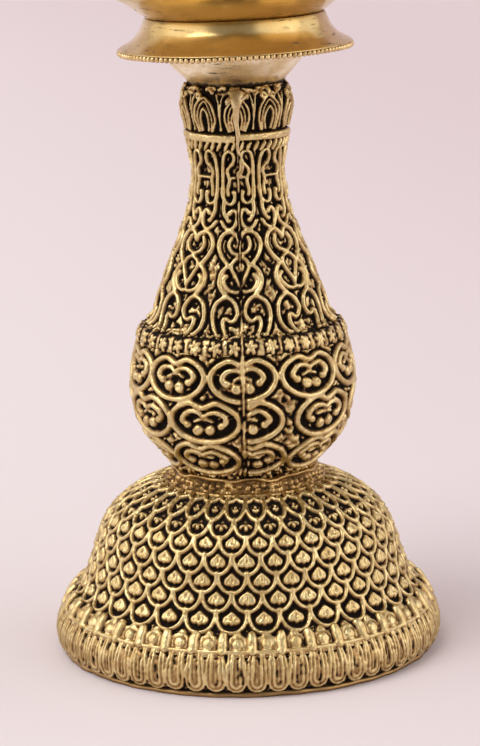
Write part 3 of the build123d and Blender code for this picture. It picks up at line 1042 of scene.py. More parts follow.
@dataclass
class Foot:
    """The bell: a ragged foot lip, a band of petals, a band of bars and beads, and a dome of scales."""

    pitch: float = 0.36
    petals: int = 60
    bars: int = 40
    scales: int = 33
    wall: float = 1.4
    ground: list[tuple[float, float]] = field(
        default_factory=lambda: [
            (61.9, 1.5), (62.9, 4.5), (63.2, 8.0), (62.2, 11.5), (60.2, 14.9), (58.6, 17.6), (56.0, 20.0),
            (53.6, 23.5), (51.9, 28.0), (50.4, 32.0), (48.9, 37.0), (46.9, 42.0), (43.6, 46.8), (38.8, 50.9),
            (32.6, 54.2), (26.6, 56.2),
        ]
    )
    row_heights: tuple[float, ...] = (19.9, 25.4, 31.0, 36.6, 42.4, 47.4, 52.0, 56.0, 59.0)

    def build(self) -> None:
        """Makes and dresses every piece of the foot."""
        self.outline = Outline(self.ground)
        self.lip()
        self.petal_band()
        self.bar_band()
        self.dome()
        self.lining()

    def lip(self) -> None:
        """The flat ring under the bell, its outer edge uneven: radius is a mean plus waves of hand
        filing."""
        angle = turns(480)
        dice = np.random.default_rng(3)
        waves = sum(
            dice.uniform(0.07, 0.2) * np.sin(
                k * angle + dice.uniform(0, TURN)
            ) for k in (3, 7, 11, 17, 29, 43)
        )
        inner = reach_of("foot_ring") - 6.5
        outer = reach_of("foot_ring") - 1.7 + waves
        profile = [
            (inner, 0.0, 0), (0, 0.0, 1), (0, 0.35, 1.25), (0, 1.1, 1.2), (0, 1.75, 0.6), (0, 1.9, -1.5),
            (inner, 1.9, 0),
        ]
        rings = []
        for r, z, push in profile:
            edge = np.full(len(angle), inner) if r else outer + (push - 1.0)
            rise = 0.16 * np.sin(5 * angle + 1) + 0.12 * np.sin(13 * angle) if z > 0.3 else 0.0
            rings.append(place(edge, angle, np.full(len(angle), z) + rise * (z / 1.9)))
        points = np.concatenate(rings)
        ages = np.repeat([0.9, 0.75, 0.5, 0.42, 0.75, 1.0, 1.0], len(angle))
        faces = [sheet_faces(len(profile), len(angle), True, True)]
        fit(solid("foot_lip", points, faces, ages), "stand", "antique_brass", ANTIQUE, "foot_ring")

    def petal_band(self) -> None:
        """Upright round-ended petals, each two nested rims round a hollow middle, side by side round the
        foot."""
        work = Relief(self.outline, 0.0, self.outline.reach(14.0), self.pitch, 11)
        foot, top = 1.2, work.along[-1] + 1.0
        for k in range(self.petals):
            centre = (k + 0.35) * TURN / self.petals
            between = centre + 0.5 * TURN / self.petals
            low = foot + work.dice.normal(0, 0.15) + 3.0
            spine = np.column_stack([np.full(6, centre), np.linspace(low, top, 6)])
            lean = work.dice.normal(0, 0.0018)
            spine[:, 0] += np.linspace(-lean, lean, 6)
            work.shape_band(
                spine, [3.35, 3.25, 3.0, 2.75, 2.5],
                [0.0, 0.16, 0.24, 0.32, 0.40, 0.52, 0.60, 0.66, 0.72, 0.90, 0.97, 1.0],
                [1.42, 1.26, 0.8, 1.45, 1.85, 1.75, 1.1, 0.55, 1.45, 1.9, 1.3, 0.10],
            )
            fin = np.column_stack([np.full(4, between), np.linspace(low + 1.2, top, 4)])
            work.raise_strap(fin, [0.25, 0.6, 0.9, 1.0], 1.25, Section.RIDGE)
            work.press_spot(between, top - 2.3, 0.7, 1.6)
            work.press_spot(between + 0.008, top - 3.9, 0.4, 1.2)
            work.press_spot(centre + work.dice.normal(0, 0.006), top - 2.6, 0.55, 1.2)
            if work.dice.random() < 0.4:
                work.raise_ball(between, foot + 0.6 + work.dice.normal(0, 0.2), 0.8, 1.2)
            for _ in range(4):
                start = low + work.dice.uniform(-2, 7)
                streak = np.column_stack(
                    [
                        np.full(2, centre + work.dice.normal(0, 0.018)),
                        [start, start + work.dice.uniform(0.4, 2.5)],
                    ]
                )
                work.press(streak, work.dice.uniform(0.2, 0.4), work.dice.uniform(0.35, 0.8))
        work.clear, work.deep = 0.05, 0.8
        work.soften()
        band = work.skin("petal_band", self.wall, back_age=0.9)
        fit(band, "stand", "antique_brass", ANTIQUE, "base_bell")

    def bar_band(self) -> None:
        """Round bars and ringed beads by turns, over a thin moulding."""
        low, high = self.outline.reach(12.8), self.outline.reach(20.2)
        work = Relief(self.outline, low, high, self.pitch, 12)
        work.raise_strap(hoop(self.outline.reach(14.1)), 0.95, 1.9)
        middle = self.outline.reach(16.6)
        for k in range(self.bars):
            centre = (k + 0.1) * TURN / self.bars
            tilt = work.dice.normal(0, 0.25)
            bar = work.around(centre, middle, [(-tilt, -2.9), (0, -1.2), (0, 1.0), (tilt, 2.5)])
            work.raise_strap(bar, [1.6, 1.85, 1.9, 1.85, 1.6], 2.5)
            bead = centre + 0.5 * TURN / self.bars
            size = 2.1 + work.dice.normal(0, 0.08)
            work.raise_ball(bead, middle - 0.3, size, 2.2)
            ring = work.around(bead, middle - 0.3, [(0.9, 0), (0, 0.9), (-0.9, 0), (0, -0.9)], closed=True)
            work.press(ring, 0.32, 0.35)
            if work.dice.random() < 0.4:
                work.press_spot(bead + work.dice.normal(0, 0.008), middle - 0.3, 0.4, 0.7)
            leaf = work.around(bead, middle + 2.9, [(0, -0.2), (0, 1.6)])
            work.raise_strap(leaf, [1.8, 0.3], 1.3, Section.STRAP)
            for _ in range(3):
                spot = work.around(
                    centre, middle, [(work.dice.normal(0, 0.9), work.dice.normal(0, 1.6))] * 2, sway=0.0
                )[0]
                work.press_spot(spot[0], spot[1], work.dice.uniform(0.25, 0.45), 0.6)
        work.fill_ground(1.25, 0.3, 0.15, self.outline.reach(18.3), 0.0)
        work.clear, work.deep = 0.4, 1.0
        work.soften()
        fit(
            work.skin("bar_and_bead_band", self.wall, back_age=0.9), "stand", "antique_brass", ANTIQUE,
            "base_bell",
        )

    def bud(self, work: Relief, centre: float, along: float, size: float, row: int) -> None:
        """One bud in a scale: ridges that fan down from a point, with a drop below; the top rows are three
        balls and a drop.

        Args:
            work: The relief that it goes on.
            centre: Angle of its centre.
            along: Distance along the outline of its centre.
            size: Its size as a share of the largest bud's.
            row: Number of its row, from the bottom.
        """
        s = size

        def rib(points: Points, half: Sequence[float], lift: float, flip: bool = False) -> None:
            """One rib of the bud."""
            work.raise_strap(work.around(centre, along, points, flip, scale=s), [w * s for w in half], lift)

        if row < 5:
            rib([(0.0, 2.3), (0.0, 0.9), (0.0, -0.4)], (0.35, 1.25, 1.9), 1.3)
            for flip in (False, True):
                rib(
                    [(0.12, 2.6), (1.0, 1.5), (1.95, 0.35), (2.2, -0.5), (1.5, -1.1)],
                    (0.35, 0.7, 0.92, 0.9, 0.7), 1.7, flip,
                )
                rib([(0.05, 2.75), (0.7, 1.2), (1.0, -0.7)], (0.3, 0.58, 0.78), 1.9, flip)
                work.press(
                    work.around(centre, along, [(0.45, 1.7), (1.15, 0.5), (1.45, -0.7)], flip, scale=s),
                    0.22, 0.45,
                )
            work.press(work.around(centre, along, [(0.0, 1.4), (0.0, 0.2), (0.08, -0.5)], scale=s), 0.2, 0.5)
            rib([(0.0, -0.7), (0.12, -1.4)], (0.8, 0.72), 1.95)
            work.press_spot(centre - 0.6 * s / 50.0, along - 1.6 * s, 0.34, 0.7)
        elif row == 5:
            for flip in (False, True):
                rib([(0.2, 1.5), (1.4, 1.1), (2.3, 0.3)], (0.6, 0.8, 0.75), 1.5, flip)
                work.press(
                    work.around(centre, along, [(0.35, 1.6), (0.95, 0.2), (1.2, -0.6)], flip, scale=s), 0.24,
                    0.7,
                )
            rib([(0.0, 0.6), (0.0, -0.7)], (0.7, 1.05), 1.7)
            work.press_spot(centre, along - 0.8 * s, 0.35, 0.5)
        else:
            for across, up, half in (
                (0.0, 1.75, 0.95), (1.15, -0.05, 0.85), (-1.15, -0.05, 0.85), (0.0, -0.95, 1.0)
            ):
                rib([(across, up), (across + 0.05, up)], (half,), 1.55)

    def dome(self) -> None:
        """Rows of scales: each a U-shaped rim that hangs from the rims above, half a scale out of step,
        round a dark cell and a bud."""
        reach = self.outline.reach
        work = Relief(self.outline, reach(17.9), self.outline.length, 0.34, 13)
        work.clear = 0.25
        half_pitch = TURN / self.scales / 2
        for row, (foot, above) in enumerate(zip(self.row_heights[:-1], self.row_heights[1:])):
            low, high = reach(foot, 1.3) + 0.45, min(reach(above, 1.3) + 0.9, self.outline.length - 0.3)
            radius = self.outline.at((low + high) / 2)[0]
            rise = high - low
            for k in range(self.scales):
                centre = (2 * k + (row + 1) % 2) * half_pitch - math.radians(0.3)
                sweep = np.linspace(-1, 1, 19)
                across = half_pitch * 0.965 * np.sin(sweep * math.pi / 2)
                up = low + rise * (1 - np.abs(np.cos(sweep * math.pi / 2)) ** 0.85)
                path = np.column_stack([centre + across, up]) + work.dice.normal(0, 1, 2) * (0.0012, 0.06)
                work.raise_strap(path, [0.80, 0.84, 0.88, 0.84, 0.80], 1.55 + work.dice.normal(0, 0.06))
                size = min(1.0, half_pitch * radius / 5.05) * (1.0 + work.dice.normal(0, 0.025))
                self.bud(work, centre, low + rise * (0.58 if row < 5 else 0.5), size, row)
                joint = centre + half_pitch
                if row < 3 and work.dice.random() < 0.5:
                    work.press_spot(joint, high - 0.6, 0.32, 0.9)
        work.soften()
        for side, first, last in HALVES:
            fit(
                work.skin(f"scale_dome_{side}", self.wall, first, last, back_age=0.9), "stand",
                "antique_brass", ANTIQUE, "base_bell",
            )

    def lining(self) -> None:
        """The inside of the bell and its flat top, a cast wall that follows the outside."""
        along = np.linspace(0.0, self.outline.length, 60)
        r, z, out_r, out_z = self.outline.at(along)
        outer = np.column_stack([r - out_r * 1.0, z - out_z * 1.0])
        inner = np.column_stack([r - out_r * 2.6, z - out_z * 2.6])[::-1]
        inner[:, 1] = np.minimum(inner[:, 1], BELL_TOP - 3.2)
        outer[:, 1] = np.maximum(outer[:, 1], 1.5)
        inner[:, 1] = np.maximum(inner[:, 1], 1.5)
        hole = 4.4
        profile = np.vstack(
            [
                outer,
                [
                    (20.0, BELL_TOP - 0.2), (hole, BELL_TOP - 0.2), (hole, BELL_TOP - 3.2),
                    (20.0, BELL_TOP - 3.2),
                ],
                inner,
            ]
        )
        ages = np.concatenate([np.full(len(outer) + 2, 0.9), np.full(len(inner) + 2, 0.55)])
        fit(turned("bell_lining", profile, 200, ages, 0.05), "stand", "antique_brass", DULL, "base_bell")


# ---------------------------------------------------------------- collar
@dataclass
class Collar:
    """The shallow cup under the bulb: a wavy lip, worn rosettes round its side, and a smooth foot."""

    rosettes: int = 20
    wall: float = 1.2

    def build(self) -> None:
        """Makes and dresses the collar."""
        base, top = BELL_TOP - 0.9, top_of("collar_ring")
        outline = Outline(
            [(27.4, base), (25.6, base + 0.9), (24.2, base + 2.2), (23.5, top - 0.9), (23.3, top)]
        )
        work = Relief(outline, 0.0, outline.length, 0.28, 21)
        everywhere = np.linspace(0, TURN, 161)
        wave = 0.22 * np.sin(9 * everywhere + 1) + 0.15 * np.sin(14 * everywhere)
        work.raise_strap(hoop(outline.length - 0.5 + 2.0 * wave, 161), 0.75, 1.15, Section.ROUND)
        work.raise_strap(hoop(1.0 + 0.5 * wave, 161), 0.7, 0.75, Section.ROUND)
        for k in range(self.rosettes):
            centre = (k + 0.3) * TURN / self.rosettes + work.dice.normal(0, 0.01)
            along = outline.length * 0.5 + work.dice.normal(0, 0.12)
            for petal in range(5):
                turn = petal * TURN / 5 + work.dice.uniform(0, 1)
                work.raise_ball(
                    centre + 1.7 * math.sin(turn) / 24.5, along + 1.25 * math.cos(turn), 1.05,
                    1.3 * work.dice.uniform(0.6, 1.1),
                )
            work.press_spot(centre, along, 0.7, 0.8)
            work.raise_ball(centre + 3.7 / 24.5, along + 1.0, 0.9, 1.0)
            work.press_spot(centre + 3.7 / 24.5, along - 0.6, 0.9, 0.8)
            work.press_spot(centre + work.dice.normal(0, 0.1), along + work.dice.normal(0, 0.8), 0.5, 0.8)
        work.clear, work.deep = 0.05, 0.8
        work.soften()
        fit(work.skin("collar", self.wall, back_age=0.6), "stand", "antique_brass", WORN, "collar_ring")
        floor = [
            (23.6, top - 2.0), (22.0, top - 1.6), (22.0, STEM_FOOT), (4.4, STEM_FOOT), (4.4, BELL_TOP),
            (23.6, BELL_TOP),
        ]
        fit(
            turned("collar_floor", np.array(floor[::-1]), 120), "stand", "antique_brass", DULL, "collar_ring"
        )


# ---------------------------------------------------------------- stem


@dataclass
class Stem:
    """The stem: a bulb of cartouches, a belt of flowers, a scrollwork vase, a rope and a ring, and a leaf
    capital.

    It is two half castings joined front and back. The right half stands a little higher than the left.
    """

    pitch: float = 0.31
    wall: float = 1.3
    flowers: int = 34
    columns: int = 8
    rope_twists: int = 42
    leaves: int = 10

    def build(self) -> None:
        """Makes and dresses every piece of the stem."""
        self.bulb()
        self.belt()
        self.vase()
        self.neck_rings()
        self.capital()

    def seam(self, work: Relief, seed: int, lift: float, half: float = 0.42, kept: float = 1.0) -> None:
        """The line of brazing at the front and the back: a black gap with a thin strap in it, whose width
        and height wander.

        Args:
            work: The relief that it goes on.
            seed: Seed of its unevenness.
            lift: Mean lift of the strap.
            half: Mean half width.
            kept: Share of its length where the braze stands above the gap.
        """
        dice = np.random.default_rng(seed)
        for front in (0.0, TURN / 2):
            along = np.linspace(work.along[0], work.along[-1], 40)
            radius = work.outline.at(along)[0]
            wander = dice.normal(0, 0.09, 40)
            path = np.column_stack([front + wander / radius, along])
            work.press(path, half * 1.45, 2.5, 0.3)
            for start in range(0, 39, 2):
                piece = path[start : start + 3]
                rise = lift * dice.uniform(0.7, 1.02)
                if dice.random() < kept:
                    work.raise_strap(piece, half * dice.uniform(0.7, 1.3), rise, Section.ROUND)

    def halves(self, work: Relief, name: str) -> None:
        """Makes the left and right halves of a stretch of the stem.

        Args:
            work: The finished relief.
            name: Name of the stretch.
        """
        for side, first, last in HALVES:
            piece = work.skin(f"{name}_{side}", self.wall, first, last, back_age=0.85)
            fit(piece, "stand", "antique_brass", ANTIQUE, f"stem_shell_{side}")

    def cartouche(
        self, work: Relief, centre: float, along: float, half_width: float, half_height: float
    ) -> None:
        """One kidney-shaped cartouche: a strap with a dip in its top, round an arched scroll with knobbed
        ends over two balls.

        Args:
            work: The relief that it goes on.
            centre: Angle of its centre.
            along: Distance along the outline of its centre.
            half_width: Half its width.
            half_height: Half its height.
        """
        a, b = half_width, half_height
        turn = np.linspace(0, TURN, 16, endpoint=False)
        x = a * np.sin(turn) * (1 - 0.05 * np.cos(turn))
        y = b * np.cos(turn)
        y -= 0.30 * b * np.exp(-((x / (0.22 * a)) ** 2)) * (np.cos(turn) > 0)
        y += 0.08 * b * np.abs(np.sin(turn)) ** 2
        inside = work.around(centre, along, [(-0.45 * a, 0.0), (0.45 * a, 0.0)], sway=0.0)
        work.keep_bare(inside, 0.8 * b)
        loop = work.around(centre, along, np.column_stack([x, y]), closed=True, sway=0.05)
        work.raise_strap(loop, 1.15, 2.5, Section.ROUND)
        arch = [(0.0, 0.30), (-0.17, 0.46), (-0.38, 0.48), (-0.57, 0.32), (-0.65, 0.05), (-0.56, -0.14)]
        for flip in (False, True):
            scroll = work.around(centre, along, [(u * a, v * b) for u, v in arch], flip, sway=0.14)
            work.raise_strap(scroll, [0.85, 1.0, 1.15, 1.25, 1.05], 2.2)
            knob = work.around(
                centre, along, [(-0.50 * a, -0.17 * b), (-0.49 * a, -0.17 * b)], flip, sway=0.1
            )
            work.raise_strap(knob, 1.5, 2.3)
            ball = work.around(
                centre, along, [(-0.185 * a, -0.41 * b), (-0.18 * a, -0.41 * b)], flip, sway=0.18
            )
            work.raise_strap(ball, 1.95, 2.45)
            if work.dice.random() < 0.6:
                work.press_spot(ball[0, 0], ball[0, 1], 0.75, 0.5)
        leaf = work.around(
            centre, along, [(-0.28 * a, 0.02 * b), (0.0, 0.14 * b), (0.26 * a, 0.0)], sway=0.25
        )
        work.raise_strap(leaf, [0.9, 1.3, 0.9], 1.7, Section.CUSHION)
        for _ in range(5):
            spot = work.around(
                centre, along, work.dice.normal(0, 1, (2, 2)) * (0.17 * a, 0.10 * b), sway=0.0
            )
            work.press_spot(spot[0, 0], spot[0, 1], 0.45, 0.7)

    def bulb(self) -> None:
        """The bulb: three rows of cartouches over a worn leafy ground; each half has its own row starts, cut
        off at the seam."""
        ground = [
            (19.2, 59.5), (21.2, 61.9), (25.0, 66.9), (29.2, 71.6), (32.0, 75.7), (33.7, 79.7), (35.0, 86.0),
            (35.3, 90.0), (34.8, 95.0), (33.8, 100.0), (32.9, 104.8),
        ]
        outline = Outline(ground)
        work = Relief(outline, 0.0, outline.length, self.pitch, 31)
        work.crown = 1.9
        work.foliage(outline.reach(61.0), outline.reach(104.0), 900, 1.5, 0.5)
        rows = (
            (
                97.3, 10.8, 6.75, (0.0, 37.6, 73.5, 108.0, 144.0, 180.0),
                (0.0, -37.6, -72.0, -108.0, -144.0, -180.0),
            ),
            (83.2, 12.0, 6.8, (1.2, 47.5, 92.0, 136.0, 178.0), (-21.2, -60.0, -99.0, -138.0, -176.0)),
            (69.2, 11.4, 7.4, (4.0, 52.0, 97.0, 142.0, 184.0), (-25.6, -71.0, -116.0, -160.0)),
        )
        for height, half_width, half_height, right, left in rows:
            for work.side, centres in ((True, right), (False, left)):
                middle = outline.reach(height, work.crown)
                for centre in centres:
                    self.cartouche(work, math.radians(centre), middle, half_width, half_height)
        work.side = None
        work.raise_strap(hoop(outline.reach(60.4), 181), 1.2, 1.2, Section.STRAP)
        work.fill_ground(1.45, 0.5)
        work.deep = 1.2
        self.seam(work, 32, 2.4, 0.75, 0.9)
        work.soften()
        work.shift_half(0.3)
        self.halves(work, "bulb")

    def belt(self) -> None:
        """The belt: a flat strip with a row of small star flowers, each a ring of petals round a seed, in a
        dark groove."""
        outline = Outline(
            [(32.9, 103.9), (33.3, 105.6), (32.9, 107.4), (31.9, 109.2), (30.2, 110.2), (27.2, 110.8)]
        )
        work = Relief(outline, 0.0, outline.length, 0.24, 41)
        middle = outline.reach(106.9)
        work.raise_strap(hoop(middle, 161), 2.9, 1.2, Section.STRAP)
        for k in range(self.flowers):
            centre = (k + 0.5) * TURN / self.flowers + work.dice.normal(0, 0.008)
            count = 6 if work.dice.random() < 0.6 else 5
            start = work.dice.uniform(0, 1)
            size = work.dice.uniform(0.92, 1.1)
            work.press_spot(centre, middle, 2.5, 0.5)
            for petal in range(count):
                turn = start + petal * TURN / count
                far = 1.45 * size
                tip = work.around(
                    centre, middle, [(0, 0), (far * math.sin(turn), far * math.cos(turn))], sway=0.05
                )
                work.raise_strap(tip, [0.55, 0.8], 1.95)
                work.press_spot(tip[-1, 0], tip[-1, 1], 0.25, 0.3)
            work.press_spot(centre, middle, 0.8, 0.8)
            work.raise_ball(centre, middle, 0.55, 2.0)
        work.foliage(outline.reach(109.4), outline.length, 260, 1.2, 0.5)
        work.clear, work.deep = 0.2, 0.6
        for _ in range(60):
            work.press_spot(work.dice.uniform(0, TURN), middle + work.dice.normal(0, 1.8), 0.35, 0.5)
        self.seam(work, 42, 1.7, 0.5)
        work.soften()
        work.shift_half(0.4)
        self.halves(work, "flower_belt")

    def strands(self, work: Relief, centre: float) -> None:
        """One column of scrollwork, from the belt to the rope. Points are (across, height) of the left half,
        mirrored for the right.

        Args:
            work: The relief that it goes on.
            centre: Angle of the column's centre line.
        """
        crook = [
            (-7.8, 109.9), (-9.31, 113.0), (-9.68, 116.8), (-8.27, 120.4), (-5.08, 122.4), (-2.44, 121.1),
            (-1.22, 118.0), (-2.16, 115.6), (-3.76, 114.9), (-4.98, 116.0), (-6.02, 115.6), (-6.2, 113.4),
            (-5.08, 109.9),
        ]
        hearts = [
            (0.0, 139.7), (-0.93, 141.5), (-2.7, 142.5), (-5.21, 141.6), (-6.98, 138.4), (-6.04, 135.0),
            (-3.91, 132.2),
        ]
        waist = [(-3.78, 132.2), (-5.94, 130.4), (-7.11, 127.4), (-6.39, 124.9), (-4.41, 122.6)]
        cup = [(-2.7, 140.6), (-3.6, 138.4), (-2.5, 136.3), (0.0, 135.4)]
        wedge = [(-4.6, 140.2), (-5.4, 138.2), (-5.0, 136.4)]
        drop = [(0.0, 134.6), (-1.9, 133.8), (-3.0, 131.8), (-1.9, 129.2), (-0.6, 127.0), (0.0, 125.7)]
        smile = [(-4.6, 129.0), (-5.7, 127.4), (-4.3, 124.9), (-2.0, 123.9), (0.0, 124.2)]
        for flip in (False, True):
            work.raise_strap(work.on_surface(centre, crook, flip), 0.95, 2.6)
            for path, half, lift in (
                (hearts, 0.95, 2.6), (waist, 0.95, 2.6), (cup, 0.84, 2.4), (wedge, 0.42, 1.8),
                (drop, 0.84, 2.5), (smile, 0.92, 2.4),
            ):
                work.raise_strap(work.on_surface(centre, path, flip), half, lift)
            end = work.on_surface(centre, smile[:2], flip)[0]
            work.raise_ball(end[0], end[1], 1.15, 2.35)
            self.neck_strands(work, centre, flip)

    def neck_strands(self, work: Relief, centre: float, flip: bool) -> None:
        """Half of a column's neck: the C and S scrolls, the cups over them, and the tall crooks with their
        cross bar.

        Args:
            work: The relief that they go on.
            centre: Angle of the column's centre line.
            flip: True for the right half.
        """
        ess = [(-4.88, 151.9), (-5.05, 149.4), (-4.56, 147.2), (-3.48, 145.9)]
        cee = [
            (-3.06, 148.5), (-1.74, 149.4), (-0.58, 147.6), (-1.0, 145.0), (-2.73, 143.4), (-4.72, 143.9),
            (-6.04, 145.8),
        ]
        cup = [(-5.3, 156.3), (-5.05, 153.2), (-3.89, 151.6), (-2.15, 151.3), (-1.24, 153.0), (-1.4, 155.0)]
        outer = [
            (-4.97, 152.8), (-5.09, 158.5), (-4.88, 165.0), (-4.05, 167.5), (-2.57, 168.1), (-1.4, 166.9),
            (-1.32, 165.0), (-2.07, 163.6),
        ]
        inner = [
            (-2.23, 163.4), (-3.23, 162.6), (-3.56, 161.0), (-2.9, 159.2), (-3.14, 157.6), (-3.56, 155.6),
            (-3.31, 153.9),
        ]
        for path, half, lift in (
            (ess, 0.82, 2.3), (cee, 0.84, 2.3), (cup, 0.8, 2.3), (outer, 0.74, 2.3), (inner, 0.74, 2.2)
        ):
            work.raise_strap(work.on_surface(centre, path, flip, sway=0.06), half, lift)
        work.raise_strap(work.on_surface(centre, [(-3.3, 159.5), (0.0, 159.6)], flip, sway=0.03), 0.7, 2.0)
        for across, height, size in (
            (-3.5, 146.0, 1.1), (-3.1, 148.2, 1.1), (-1.5, 154.9, 1.0), (-2.1, 163.7, 1.0)
        ):
            spot = work.on_surface(centre, [(across, height), (across + 0.05, height)], flip, sway=0.05)[0]
            work.raise_ball(spot[0], spot[1], size, 2.3)

    def vase(self) -> None:
        """The vase: eight columns of scrollwork straps over a deep leafy ground."""
        ground = [
            (30.3, 109.3), (28.8, 110.6), (27.6, 112.4), (26.5, 115.0), (24.9, 120.0), (23.2, 125.0),
            (21.3, 130.0), (19.3, 135.0), (17.4, 140.0), (15.7, 145.0), (14.5, 150.0), (13.8, 155.0),
            (13.4, 160.0), (13.7, 165.0), (14.4, 169.0),
        ]
        outline = Outline(ground)
        work = Relief(outline, 0.0, outline.length, self.pitch, 51)
        work.crown = 2.0
        reach = outline.reach
        work.foliage(reach(109.6), reach(143.0), 900, 1.7, 0.5)
        for k in range(self.columns):
            self.strands(work, k * TURN / self.columns)
        work.fill_ground(1.1, 0.4, 0.7, reach(146.0))
        work.clear, work.deep = 0.25, 0.92
        self.seam(work, 52, 1.8, 0.42, 0.55)
        work.soften()
        work.shift_half(0.3)
        self.halves(work, "vase")

    def neck_rings(self) -> None:
        """The rope moulding and the plain ring over it: slanted lozenges, then a flat band that dips towards
        the front seam."""
        outline = Outline([(14.4, 168.0), (15.0, 170.0), (15.5, 172.5), (15.7, 174.6)])
        work = Relief(outline, 0.0, outline.length, 0.24, 61)
        everywhere = np.linspace(0, TURN, 241)
        low = outline.reach(169.9)
        for k in range(self.rope_twists):
            centre = (k + 0.5) * TURN / self.rope_twists
            lozenge = work.around(centre, low, [(-0.7, -1.25), (0.0, 0.0), (0.7, 1.3)], sway=0.09)
            work.raise_strap(lozenge, [0.5, 0.86, 0.6], 1.85)
        for work.side, dip, size in ((True, 0.25, 1.3), (False, -0.35, 1.45)):
            slope = dip * np.exp(-((np.angle(np.exp(1j * everywhere)) / 0.9) ** 2))
            work.raise_strap(hoop(outline.reach(172.8) + slope), size, 1.9, Section.STRAP)
        work.side = None
        for _ in range(34):
            work.press_spot(
                work.dice.uniform(0, TURN), outline.reach(172.7) + work.dice.normal(0, 0.6), 0.32, 0.7
            )
        self.seam(work, 62, 1.4, 0.4, 0.6)
        work.soften()
        self.halves(work, "neck_rings")

    def capital(self) -> None:
        """The capital: upright leaves of nested pointed arches, each with two curls at its tip, and slim
        sprigs between them."""
        ground = [
            (15.3, 174.0), (15.9, 177.0), (16.7, 180.5), (16.9, 183.0), (16.3, 186.0),
            (15.2, HEAD_SEAT - 0.1),
        ]
        outline = Outline(ground)
        work = Relief(outline, 0.0, outline.length, 0.22, 71)
        work.crown = 1.5
        arches = (
            ([(-2.7, 174.6), (-3.9, 178.4), (-3.7, 181.6), (-2.3, 184.0), (-0.4, 185.6)], 0.52, 1.95),
            ([(-2.0, 174.6), (-2.75, 178.4), (-2.4, 181.4), (-1.1, 183.6), (0.0, 184.4)], 0.44, 1.75),
            ([(-1.05, 174.9), (-1.65, 178.4), (-1.2, 180.8), (0.0, 182.3)], 0.50, 1.75),
            ([(-5.55, 174.8), (-5.45, 179.5), (-5.4, 183.2), (-4.9, 185.4), (-4.2, 186.6)], 0.38, 1.4),
        )
        for k in range(self.leaves):
            centre = k * TURN / self.leaves
            for flip in (False, True):
                for path, half, lift in arches:
                    work.raise_strap(work.on_surface(centre, path, flip, sway=0.08), half, lift)
                if work.dice.random() < 0.8:
                    curl = work.on_surface(centre, [(-2.0, 186.1), (-1.95, 186.1)], flip, sway=0.25)[0]
                    work.raise_ball(curl[0], curl[1], work.dice.uniform(1.1, 1.6), 2.15)
                    work.press_spot(curl[0], curl[1], 0.55, 0.9)
        for _ in range(60):
            angle, high = work.dice.uniform(0, TURN), work.dice.uniform(186.4, 188.6)
            streak = work.around(
                angle, outline.reach(high), work.dice.normal(0, 1, (3, 2)) * (1.5, 0.5), sway=0.1
            )
            work.raise_strap(
                streak, work.dice.uniform(0.6, 1.3), work.dice.uniform(1.0, 1.9), Section.CUSHION
            )
        work.clear, work.deep = 0.12, 0.8
        self.seam(work, 72, 1.4, 0.4, 0.5)
        work.soften()
        work.shift_half(0.3)
        self.halves(work, "capital")
        self.drip()

    def drip(self) -> None:
        """The spilt braze at the front seam: a blob on the leaf's tip, two arms, and a run that thins down
        to the neck.

        Each is a closed bead: a chain of circles across the seam, with half widths and thicknesses read off
        the list.
        """
        runs = (
            (
                (
                    (0.0, 188.3, 2.4), (0.1, 186.6, 2.7), (0.0, 184.4, 2.0), (-0.15, 182.0, 1.2),
                    (-0.3, 179.6, 1.35), (-0.2, 177.0, 1.0), (0.15, 174.8, 0.85), (0.3, 172.6, 0.9),
                    (0.0, 170.4, 0.6), (0.25, 168.3, 0.65), (0.9, 166.6, 0.4),
                ),
                0.55,
            ),
            (((-0.4, 185.4, 0.9), (-1.9, 185.5, 0.85), (-3.0, 184.6, 0.8), (-3.3, 183.4, 0.5)), 0.7),
            (((0.4, 185.2, 0.9), (2.2, 185.6, 0.95), (3.3, 186.4, 0.9), (3.6, 185.2, 0.6)), 0.7),
            (
                (
                    (0.7, 165.6, 0.5), (1.3, 163.9, 0.9), (1.1, 162.0, 0.8), (0.3, 160.4, 1.0),
                    (1.7, 159.7, 0.7),
                ),
                0.5,
            ),
        )
        silhouette = Outline(
            [
                (16.0, 158.0), (15.6, 162.0), (15.9, 166.0), (16.5, 170.0), (17.2, 173.0), (17.3, 177.0),
                (18.2, 181.0), (18.5, 184.0), (17.4, 188.5),
            ]
        )
        sides = 16
        for number, (spine, thick) in enumerate(runs):
            line = np.array(spine)
            dense = smooth(line[:, :2], 0.25)
            share = np.linspace(0, len(line) - 1, len(dense))
            half = np.interp(share, np.arange(len(line)), line[:, 2])
            half *= 0.88 * np.sqrt(
                np.clip(
                    np.minimum(np.arange(len(dense)) + 0.6, len(dense) - 0.4 - np.arange(len(dense))) / 3.5,
                    0.05, 1,
                )
            )
            heading = np.gradient(dense, axis=0)
            heading /= np.hypot(*heading.T)[:, None]
            turn = turns(sides)
            x = dense[:, 0, None] + heading[:, 1, None] * half[:, None] * np.cos(turn)
            z = dense[:, 1, None] - heading[:, 0, None] * half[:, None] * np.cos(turn)
            radius, _, out_r, out_z = silhouette.at(silhouette.reach(z))
            bulge = thick * np.minimum(half, 1.3)[:, None] * np.sin(turn)
            grid = place(radius + out_r * bulge, x / radius, z + out_z * bulge)
            points = np.vstack([grid.reshape(-1, 3), grid[0].mean(0), grid[-1].mean(0)])
            faces = [
                sheet_faces(len(dense), sides, False, True)[:, ::-1],
                fan(len(points) - 2, 0, sides, True),
                fan(len(points) - 1, (len(dense) - 1) * sides, sides, False),
            ]
            heights = np.append(np.repeat(dense[:, 1], sides), dense[[0, -1], 1])
            ages = 0.3 + 0.35 * np.clip((heights - 185.0) / 2.0, 0, 1)
            fit(
                solid(f"braze_run_{number}", points, faces, ages), "stand", "antique_brass", SOLDER,
                "stem_shell_left",
            )


